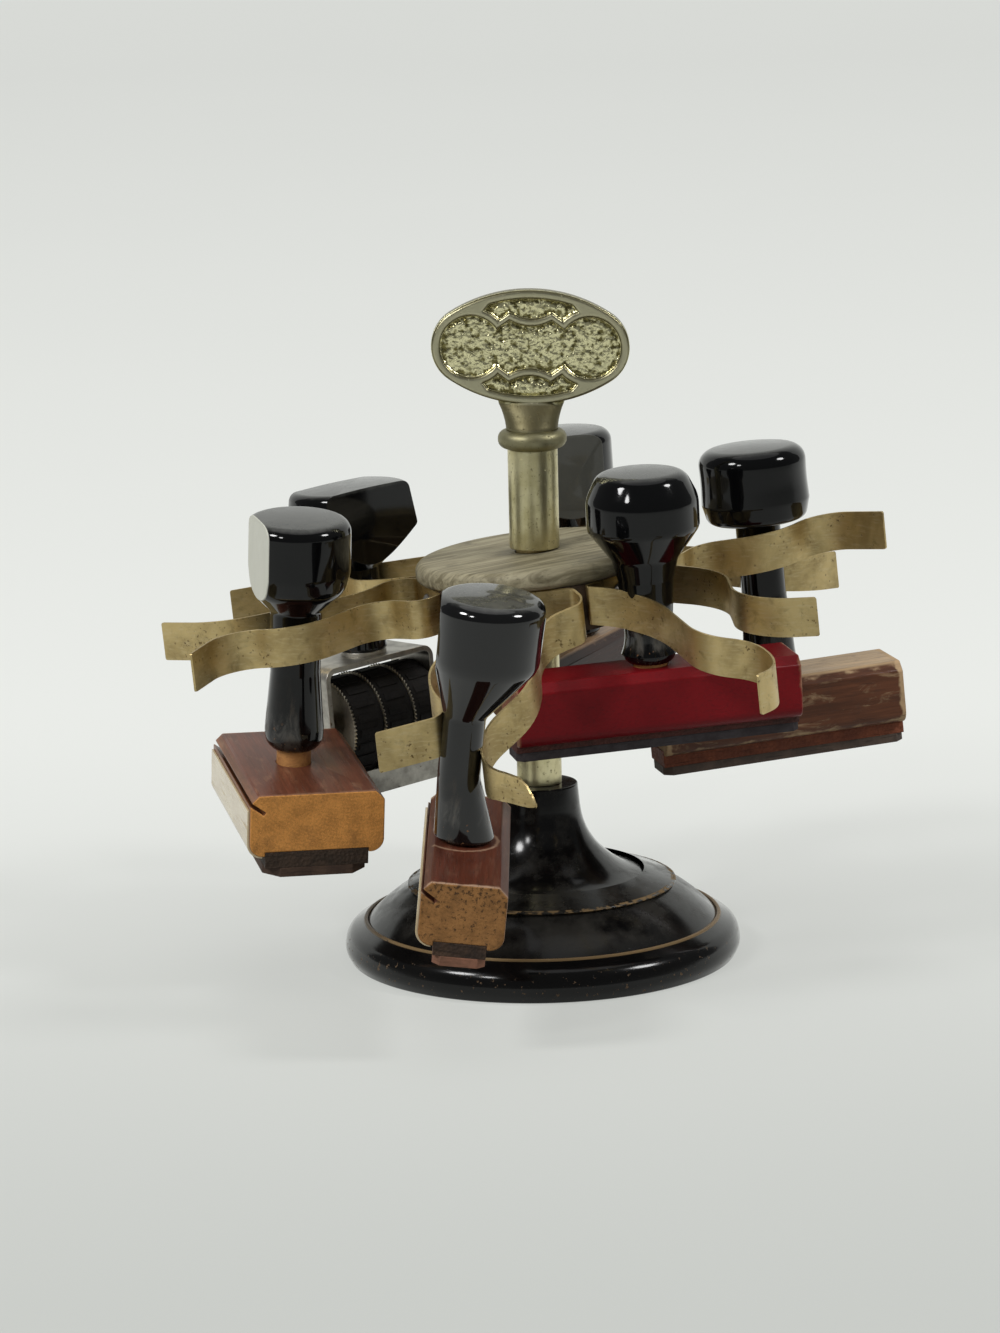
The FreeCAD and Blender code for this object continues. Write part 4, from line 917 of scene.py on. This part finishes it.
def rounded_tip(points, steps=6):
    """End a line in short steps, each with the height that the tip's corner loses there."""
    tip, along = points[-1], (points[-2] - points[-1]).normalized()
    rows = [(p, 0.0) for p in points if (p - tip).length > TIP + 0.05]
    for k in range(steps + 1):
        angle = math.pi / 2 * k / steps
        rows.append((tip + along * TIP * (1 - math.sin(angle)), TIP * (1 - math.cos(angle))))
    return rows


def spring_clip(name):
    line = clip_line(name)
    half = len(line) // 2
    first = rounded_tip(line[:half][::-1])[::-1]
    rows = first + rounded_tip(line[half:])
    falls = [math.tan(math.radians(fall)) for fall, _ in CLIPS[name]]
    place = clip_place(name)
    bm = bmesh.new()
    grid = []
    walked = 0.0
    for i, (point, lost) in enumerate(rows):
        before, after = rows[max(0, i - 1)][0], rows[min(len(rows) - 1, i + 1)][0]
        walked += (point - before).length
        along = (after - before).normalized()
        across = Vector((-along.y, along.x)) * STRIP / 2
        first_arm = i < len(first)
        fall = falls[0] if first_arm else falls[1]
        rise = between(RISE[name], walked) if first_arm and name in RISE else (0, 0)
        ring = []
        for side, up in ((1, 0), (1, 1), (-1, 1), (-1, 0)):
            at = point + across * side
            top = -fall * at.x
            z = top + rise[0] - lost if up else top - HEIGHT + rise[1] + lost
            ring.append(bm.verts.new(place @ Vector((at.x, at.y, z))))
        grid.append(ring)
    for a, b in zip(grid, grid[1:]):
        for k in range(4):
            n = (k + 1) % 4
            bm.faces.new((a[k], a[n], b[n], b[k]))
    bm.faces.new(grid[0])
    bm.faces.new(grid[-1][::-1])
    return bm


for name in CLIPS:
    made = piece("spring_" + name, spring_clip(name), brass, "carousel", ["clip_" + name],
                 edge=0.07, angle=40)
    print("clip", name, "vertices:", len(made.data.vertices))


# %% [markdown]
# ### Screws
# A round head with a slot is the one place where a Boolean is the plain choice: a dome is stacked from
# rings and a thin box cuts the slot. All six heads join in one mesh, each turned by its own angle, as
# a real screwdriver leaves them.

# %% Slotted screws
HEAD_RADIUS, HEAD_RISE = 3.1, 1.7
SLOT_SIZE, SLOT_LEVEL = (8.0, 0.7, 1.5), 1.6


def slotted_head():
    dome = [(HEAD_RADIUS, HEAD_RADIUS, 0, 0)]
    for degrees in (5, 15, 28, 42, 56, 70, 82):
        radius = HEAD_RADIUS * math.cos(math.radians(degrees))
        dome.append((radius, radius, HEAD_RISE * math.sin(math.radians(degrees)), 0))
    dome.append((0, 0, HEAD_RISE, 0))
    bm = stack(bmesh.new(), [(0, 0, 0, 0)] + dome, Matrix(), 48)
    head_mesh, slot_mesh = bpy.data.meshes.new("head"), bpy.data.meshes.new("slot")
    bmesh.ops.recalc_face_normals(bm, faces=bm.faces)
    bm.to_mesh(head_mesh)
    bm.free()
    bm = bmesh.new()
    bmesh.ops.create_cube(bm, size=1.0, matrix=shift(z=SLOT_LEVEL) @ Matrix.Diagonal((*SLOT_SIZE, 1)))
    bm.to_mesh(slot_mesh)
    bm.free()
    head = bpy.data.objects.new("head", head_mesh)
    slot = bpy.data.objects.new("slot", slot_mesh)
    for made in (head, slot):
        bpy.context.scene.collection.objects.link(made)
    cut = head.modifiers.new("slot", "BOOLEAN")
    cut.object, cut.operation, cut.solver = slot, "DIFFERENCE", "EXACT"
    bpy.context.view_layer.update()
    result = bpy.data.meshes.new_from_object(head.evaluated_get(bpy.context.evaluated_depsgraph_get()))
    for made in (head, slot):
        bpy.data.objects.remove(made)
    return result


head_mesh = slotted_head()
bm = bmesh.new()
for name, twist in zip(BEARINGS, (20, 75, -35, 110, 5, 50)):
    place = clip_place(name) @ shift(x=STRIP, z=-HEIGHT / 2) @ turn("Y", 90) @ turn("Z", twist)
    one = bmesh.new()
    one.from_mesh(head_mesh)
    bmesh.ops.transform(one, matrix=place, verts=one.verts)
    moved = bpy.data.meshes.new("moved")
    one.to_mesh(moved)
    one.free()
    bm.from_mesh(moved)
screws = piece("screw_heads", bm, steel, "carousel", ["clip_screws"], 0.06)
print("screw heads:", len(BEARINGS))


# %% [markdown]
# ## Handles
# Every handle is a stack of rings in its stamp's frame: a foot, a slim neck that the clip grips and a
# knob over it. Three knobs have one flat face, and the oblong one has two. A plane cuts the mesh there
# and the hole is closed by one face, so that the flat is truly flat. Heel and knob are rows of radius,
# height and rounding, a flat is its bearing and its distance from the middle, and a bow is rows of
# height and offset.

# %% Shapes of the handles
NECK_LEVEL, NECK_ROUND, CROWN, PLAIN_SHINE = -16.0, 12.0, 0.6, 1.36
HANDLES = {
    "front_left": {
        "heel": [(7.9, -37.8, 4.6), (7.9, -31.5, 6.0)], "neck": 6.7,
        "knob": [(7.0, 1.2, 2.0), (13.0, 7.0, 7.0), (14.3, 12.0, 7.0), (14.3, 26.3, 3.4)],
        "flats": [(95.0, 10.8)], "wear": 1.0, "pale": 1.0},
    "front": {
        "heel": [(7.9, -32.4, 0.9)], "neck": 5.5,
        "knob": [(5.5, 0.0, 3.0), (13.7, 14.5, 8.0), (14.4, 32.0, 3.6)],
        "flats": [(90.0, 10.4)], "wear": 0.75, "shine": 1.55,
        "bow": [(-32.4, -0.8), (-20.0, 1.6), (-12.0, 2.1), (-3.0, 2.0), (15.5, -2.2), (40.0, -2.2)]},
    "front_right": {
        "heel": [(6.9, -21.6, 2.6), (6.9, -17.5, 3.0)], "neck": 6.2,
        "knob": [(7.4, 0.8, 2.0), (8.8, 6.4, 4.0), (14.9, 14.6, 3.2), (14.9, 22.8, 9.0), (11.6, 29.5, 4.0)],
        "flats": [], "wear": 0.8},
    "right": {
        "heel": [(7.4, -37.6, 0.9)], "neck": 6.1,
        "knob": [(6.1, 3.2, 0.0), (13.4, 4.3, 2.6), (14.7, 9.5, 3.0), (14.4, 15.5, 60.0), (14.7, 24.2, 4.2)],
        "flats": [], "wear": 0.5, "shine": 1.32},
    "rear": {
        "heel": [(7.4, -29.4, 0.9)], "neck": 6.1,
        "knob": [(6.1, 0.8, 0.0), (13.2, 6.6, 7.0), (14.2, 12.0, 7.0), (14.2, 28.4, 3.4)],
        "flats": [(-140.0, 11.2)], "wear": 0.6, "pale": 0.12},
    "rear_left": {
        "heel": [(6.9, -22.8, 0.9)], "neck": 6.3,
        "knob": [(6.3, 0.4, 0.0), (9.5, 3.0, 2.0), (18.8, 10.6, 1.5), (16.8, 23.2, 2.6)],
        "flats": [(90.0, 8.2), (-90.0, 8.2)], "wear": 0.6},
}


def cut_flat(bm, place, angle, offset):
    """Cut away everything past a plane that stands upright in the stamp's frame, and close the cut."""
    normal = place.to_3x3() @ Vector((math.cos(math.radians(angle)), math.sin(math.radians(angle)), 0))
    point = place.translation + normal * offset
    found = bmesh.ops.bisect_plane(bm, geom=bm.verts[:] + bm.edges[:] + bm.faces[:], dist=1e-5,
                                   plane_co=point, plane_no=normal, clear_outer=True)
    rim = [e for e in found["geom_cut"] if isinstance(e, bmesh.types.BMEdge)]
    bmesh.ops.edgeloop_fill(bm, edges=rim)


def bowed(table, level):
    """How far a handle's middle lies aside at a level, softly between the table's rows."""
    aside = table[0][1]
    for (low, start), (high, end) in zip(table, table[1:]):
        aside += (end - start) * step(level, low, high)
    return aside


def handle(name):
    row = HANDLES[name]
    place = stamp_place(name)
    bottom, top = row["heel"][0][1], row["knob"][-1][1]
    profile = [(0, bottom, 0), *row["heel"], (row["neck"], NECK_LEVEL, NECK_ROUND), *row["knob"],
               (0, top + CROWN, 0)]
    bow = row.get("bow", [(0, 0)])
    bm = stack(bmesh.new(), [(p.x, p.x, p.y, bowed(bow, p.y)) for p in eased(profile)], place)
    for angle, offset in row["flats"]:
        cut_flat(bm, place, angle, offset)
    return bm


for name, row in HANDLES.items():
    bottom, top = row["heel"][0][1], row["knob"][-1][1]
    flat, edge = None, 0.0
    if row["flats"]:
        angle, offset = row["flats"][0]
        flat, edge = (math.radians(angle), offset), 0.35
    coat = lacquer("lacquer " + name, stamp_place(name), bottom, top, row["wear"], flat,
                   row.get("pale", 0.0), row.get("shine", PLAIN_SHINE))
    body = "dater" if name == "rear_left" else "stamp_" + name
    piece("turned_" + name, handle(name), coat, body, ["handle_" + name], edge, 38)
    print("handle", name, "foot at", bottom)


# %% [markdown]
# ## Blocks, strips, cushions and dies
# A stamp's block is moulded in long lengths and sawn off, so both ends show bare end grain. The
# cushion and the rubber die are glued below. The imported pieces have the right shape, with edges to be
# softened, and each finish is fixed to its own block. The dies carry rows of small raised bars. Drop
# and aside place a block below its handle's neck, and pads are the heights of its cushion and its die.

# %% Dress the stamps
BLOCKS = {
    "front_left": {"size": (54.0, 36.2, 17.0), "drop": 41.4, "aside": -1.2, "pads": (4.4, 2.6)},
    "front": {"size": (70.0, 21.8, 16.8), "drop": 33.0, "aside": -2.0, "pads": (3.6, 2.6)},
    "front_right": {"size": (77.0, 20.0, 17.0), "drop": 22.2, "aside": 0.0, "pads": (3.0, 2.4)},
    "right": {"size": (68.0, 22.7, 17.2), "drop": 38.2, "aside": 0.0, "pads": (4.6, 2.4)},
    "rear": {"size": (70.0, 22.0, 16.5), "drop": 30.0, "aside": 0.0, "pads": (3.6, 2.4)},
}
WOODS = {
    "front_left": {"top": (0.175, 0.058, 0.032), "side": (0.24, 0.09, 0.035), "end": (0.72, 0.325, 0.085),
                   "edge": (0.42, 0.23, 0.13), "worn": 0.25, "gloss": 0.26, "scuffs": 0.25},
    "front": {"top": (0.105, 0.028, 0.015), "side": (0.14, 0.05, 0.027), "end": (0.36, 0.175, 0.06),
              "edge": (0.36, 0.23, 0.15), "worn": 0.4, "gloss": 0.36, "specks": 0.9, "scuffs": 0.1,
              "ring": (0.0, 2.0, 9.6)},
    "right": {"top": (0.56, 0.38, 0.21), "side": (0.155, 0.055, 0.025), "end": (0.50, 0.32, 0.17),
              "edge": (0.50, 0.34, 0.19), "worn": 0.8, "gloss": 0.38, "scuffs": 0.55},
    "rear": {"top": (0.42, 0.27, 0.155), "side": (0.05, 0.02, 0.015), "end": (0.34, 0.2, 0.11),
             "edge": (0.3, 0.17, 0.09), "worn": 0.5, "gloss": 0.4},
}
RUBBERS = {
    "front_left": (((0.030, 0.020, 0.014), (0.055, 0.035, 0.024)),
                   ((0.050, 0.030, 0.022), (0.085, 0.052, 0.036))),
    "front": (((0.028, 0.018, 0.013), (0.07, 0.04, 0.025)), ((0.26, 0.12, 0.075), (0.16, 0.08, 0.05))),
    "front_right": (((0.10, 0.035, 0.028), (0.055, 0.028, 0.024)),
                    ((0.060, 0.052, 0.056), (0.035, 0.028, 0.030))),
    "right": (((0.155, 0.048, 0.026), (0.23, 0.072, 0.036)), ((0.075, 0.055, 0.045), (0.12, 0.085, 0.066))),
    "rear": (((0.10, 0.05, 0.03), (0.15, 0.07, 0.04)), ((0.06, 0.04, 0.03), (0.09, 0.06, 0.045))),
}
PAD_SUNK = 1.2
peg_wood = hub_wood("peg wood", (0.55, 0.27, 0.09), (0.38, 0.17, 0.06), HUB, 0.42)

for name, row in BLOCKS.items():
    length, width, height = row["size"]
    place = stamp_place(name) @ shift(y=row["aside"], z=-row["drop"] - height)
    if name in WOODS:
        finish = block_wood("block " + name, place, length, width, height, **WOODS[name])
    else:
        finish = maroon("block " + name, place, length)
    soften("block_" + name, finish, 0.35)
    soften("peg_" + name, peg_wood, 0.1)
    cushion_tint, die_tint = RUBBERS[name]
    sponge = rubber("cushion " + name, place, *cushion_tint, rough_edge=1.2)
    soften("cushion_" + name, sponge, 0.12)
    printing_face = PAD_SUNK - sum(row["pads"])
    die = rubber("die " + name, place, *die_tint, type_rows=printing_face + 0.05)
    soften("die_" + name, die, 0.15)
    if "index_strip_" + name in frame["nodes"]:
        soften("index_strip_" + name, celluloid("celluloid " + name, place), 0.08)
    print("stamp", name, "block", row["size"])


# %% [markdown]
# ## Band dater
# Under the oblong handle hangs a dater: a bent yoke, three wheels with knurled flanges and a band on
# each, drawn over a bar in the foot. The wheels are stacked from rings, where every second point of
# the flange is pulled in to make its teeth. Each band is a loop with small raised bars all round.

# %% Dater
DATER = stamp_place("rear_left")
YOKE_TOP, YOKE_MIDDLE, YOKE_HALF, SHEET, SPACER = -24.0, -1.5, 19.5, 1.5, 3.0
AXLE_DROP, BAR_DROP, GAP, AXLE_RADIUS, BAR_RADIUS = 17.5, 17.5, 0.3, 1.65, 3.25
FLANGE_RADIUS, FLANGE_ROOT, FLANGE_WIDTH, TOOTH, DRUM_RADIUS = 13.3, 12.4, 0.7, 0.8, 11.7
AXLE_LEVEL = YOKE_TOP - AXLE_DROP
WHEELS_LEFT = YOKE_MIDDLE - YOKE_HALF + SHEET + SPACER + GAP
WHEEL_SPACE = (YOKE_MIDDLE + YOKE_HALF - SHEET - WHEELS_LEFT) / 3
WHEEL_WIDTH = WHEEL_SPACE - GAP


def wheel(along):
    """A wheel from its left side: toothed flange, web, then drum and bore."""
    teeth = ((FLANGE_ROOT, 0), (FLANGE_RADIUS, 0.12), (FLANGE_RADIUS, FLANGE_WIDTH - 0.1),
             (FLANGE_ROOT, FLANGE_WIDTH))
    web = ((AXLE_RADIUS, 0), (FLANGE_ROOT, 0))
    drum = ((FLANGE_ROOT, FLANGE_WIDTH), (DRUM_RADIUS, FLANGE_WIDTH), (DRUM_RADIUS, WHEEL_WIDTH),
            (AXLE_RADIUS, WHEEL_WIDTH), (AXLE_RADIUS, 0))
    bm = bmesh.new()
    for profile, bite in ((teeth, TOOTH), (web, 0.0), (drum, 0.0)):
        stack(bm, [(radius, radius, level, 0) for radius, level in profile], along, turns=144, teeth=bite)
    return bm


dater_metal = plated("plated sheet", DATER)
wheel_metal = plated("wheel metal", DATER, (0.50, 0.46, 0.38), (0.22, 0.20, 0.17))
for node in ("dater_stud", "dater_frame", "dater_axle", "dater_foot"):
    soften(node, dater_metal, 0.14)
for index in range(3):
    along = DATER @ shift(x=WHEELS_LEFT + index * WHEEL_SPACE, z=AXLE_LEVEL) @ turn("Y", 90)
    number = str(index + 1)
    piece("knurled_wheel_" + number, wheel(along), wheel_metal, "band_wheel_" + number,
          ["dater_wheel_" + number])
print("wheels", round(WHEEL_WIDTH, 2), "mm wide")


# %% Bands
STEPS, PITCH = 132, 6
BAND_SEAT, BAND_CLEAR, BAND_INSET = 0.05, 0.12, 1.6
BAND_RISES = (0.02, 0.85, 1.15)


def belt(rise):
    """Points of a loop round the wheel and the nose bar, at even shares of its length."""
    outer, nose = DRUM_RADIUS + BAND_SEAT + rise, BAR_RADIUS + rise
    lean = math.asin((outer - nose) / BAR_DROP)
    line = []
    for k in range(49):
        a = -lean + (math.pi + 2 * lean) * k / 48
        line.append(Vector((0, outer * math.cos(a), AXLE_LEVEL + outer * math.sin(a))))
    for k in range(17):
        a = math.pi + lean + (math.pi - 2 * lean) * k / 16
        line.append(Vector((0, nose * math.cos(a), AXLE_LEVEL - BAR_DROP + nose * math.sin(a))))
    line.append(line[0])
    total = sum((b - a).length for a, b in zip(line, line[1:]))
    points, walked = [], 0.0
    for a, b in zip(line, line[1:]):
        leg = (b - a).length
        while len(points) < STEPS and walked + leg >= total * len(points) / STEPS:
            points.append(a + (b - a) * ((total * len(points) / STEPS - walked) / leg))
        walked += leg
    return points


def band_row(bm, points, x):
    return [bm.verts.new(DATER @ (p + Vector((x, 0, 0)))) for p in points]


band_black = rubber("band rubber", DATER, (0.012, 0.011, 0.011), (0.020, 0.018, 0.017))
inside, outside, crest = (belt(rise) for rise in BAND_RISES)
bm = bmesh.new()
for index in range(3):
    left = WHEELS_LEFT + index * WHEEL_SPACE + FLANGE_WIDTH + BAND_CLEAR
    right = left + WHEEL_WIDTH - FLANGE_WIDTH - BAND_CLEAR
    columns = (left, left + BAND_INSET, right - BAND_INSET, right)
    inner = [band_row(bm, inside, x) for x in (left, right)]
    outer = [band_row(bm, outside, x) for x in columns]
    raised = [band_row(bm, crest, x) for x in columns[1:3]]
    for k in range(STEPS):
        n = (k + 1) % STEPS
        bar = raised if k % PITCH in (1, 2, 3) else []
        around = [inner[0], outer[0], outer[1], *bar, outer[2], outer[3], inner[1]]
        for a, b in zip(around, around[1:] + around[:1]):
            bm.faces.new((a[k], a[n], b[n], b[k]))
        if k % PITCH in (1, 4):
            bm.faces.new((outer[1][k], raised[0][k], raised[1][k], outer[2][k]))
piece("date_bands", bm, band_black, "dater", ["dater_bands"], angle=40)
print("bands of", STEPS, "steps")


# %% [markdown]
# ## Studio
# A pale sweep, one large soft light overhead, three small round ones to the left, the right and the
# front left, and a light room all round. The sweep's paper also glows for the camera and in
# reflections: painted light, dim in front of the rack and bright behind it. Black lacquer shows little
# but what it mirrors, so the round lights are small enough to leave crisp spots on the knobs, and the
# room is what gives the gloss its grey sheen. Mirrored, the room is darker than the light that it
# gives. The camera stands where the photographer stood, with a long lens slightly above the rack.

# %% Floor and room
NEAR, FAR, BEND, TALL, HALF_FLOOR = -6.0, 3.0, 1.5, 6.0, 7.0


def sweep():
    """Floor that rises to a backdrop far behind the rack."""
    line = [(NEAR, 0.0), (FAR, 0.0)]
    for degrees in range(10, 91, 10):
        angle = math.radians(degrees)
        line.append((FAR + BEND * math.sin(angle), BEND - BEND * math.cos(angle)))
    line.append((FAR + BEND, TALL))
    bm = bmesh.new()
    left = [bm.verts.new((-HALF_FLOOR, y, z)) for y, z in line]
    right = [bm.verts.new((HALF_FLOOR, y, z)) for y, z in line]
    for k in range(len(line) - 1):
        bm.faces.new((left[k], right[k], right[k + 1], left[k + 1]))
    mesh = bpy.data.meshes.new("sweep")
    bm.to_mesh(mesh)
    bm.free()
    smooth(mesh, 40)
    made = bpy.data.objects.new("sweep", mesh)
    bpy.context.scene.collection.objects.link(made)
    f = Finish("pale paper", Roughness=0.9, Specular_IOR_Level=0.0, Emission_Strength=1.0)
    cloud = f.noise(f.point, 0.4, 3)
    straight, mirrored = (f.node("ShaderNodeLightPath", {}, output=ray)
                          for ray in ("Is Camera Ray", "Is Glossy Ray"))
    # Painted light: for camera and glossy rays the paper glows, dim in front of the rack and bright behind
    # it, standing in for the light across the floor.
    far = f.soft(f.part(f.point, "Y"), -0.35, 0.35)
    painted_glow = f.blend(far, (0.290, 0.300, 0.282), (0.570, 0.580, 0.556))
    paper = f.blend(cloud, (0.25, 0.255, 0.247), (0.27, 0.275, 0.266))
    seen = f.blend(straight + mirrored, (0, 0, 0), painted_glow)
    mesh.materials.append(f.feed(Base_Color=paper, Emission_Color=seen))


sweep()
world = bpy.data.worlds.new("room")
bpy.context.scene.world = world
world.use_nodes = True
background = world.node_tree.nodes["Background"]
background.inputs["Color"].default_value = (0.93, 0.95, 0.94, 1)
light_path = world.node_tree.nodes.new("ShaderNodeLightPath")
strength = world.node_tree.nodes.new("ShaderNodeMapRange")
strength.inputs["To Min"].default_value, strength.inputs["To Max"].default_value = 0.50, 0.13
world.node_tree.links.new(light_path.outputs["Is Glossy Ray"], strength.inputs["Value"])
world.node_tree.links.new(strength.outputs["Result"], background.inputs["Strength"])


def lamp(name, place, target, size, watts):
    data = bpy.data.lights.new(name, "AREA")
    data.shape = "DISK"
    data.size = size
    data.energy = watts
    made = bpy.data.objects.new(name, data)
    bpy.context.scene.collection.objects.link(made)
    made.location = place
    made.rotation_euler = (Vector(target) - Vector(place)).to_track_quat("-Z", "Y").to_euler()


lamp("overhead", (0.1, 0.35, 2.6), (0, 0.1, 0.05), 2.4, 9)
lamp("left", (-1.27, -0.80, 1.40), (0, 0, 0.1), 0.46, 16)
lamp("right", (1.44, -0.41, 1.45), (0, 0, 0.1), 0.46, 14)
lamp("front left", (-0.95, -1.35, 1.20), (0, 0, 0.1), 0.26, 5)
print("lamps:", len(bpy.data.lights))


# %% Camera
FOCAL_SHARE, SENSOR, DISTANCE, EYE = 4.7378, 36.0, 1.2502, 0.3419
YAW, PITCH, ROLL = -0.0080, 0.2068, -0.0229
camera_data = bpy.data.cameras.new("camera")
camera_data.sensor_fit = "HORIZONTAL"
camera_data.sensor_width = SENSOR
camera_data.lens = SENSOR * FOCAL_SHARE
camera_data.clip_end = 50
camera = bpy.data.objects.new("camera", camera_data)
bpy.context.scene.collection.objects.link(camera)
forward = Vector((math.sin(YAW) * math.cos(PITCH), math.cos(YAW) * math.cos(PITCH), -math.sin(PITCH)))
right = Vector((math.cos(YAW), -math.sin(YAW), 0))
up = right.cross(forward)
level = Matrix((right, up, -forward)).transposed()
rolled = level @ Matrix.Rotation(ROLL, 3, "Z")
camera.matrix_world = Matrix.Translation((0, -DISTANCE, EYE)) @ rolled.to_4x4()
bpy.context.scene.camera = camera
bpy.context.scene.view_settings.view_transform = "Standard"
print("lens", round(camera_data.lens, 1), "mm")
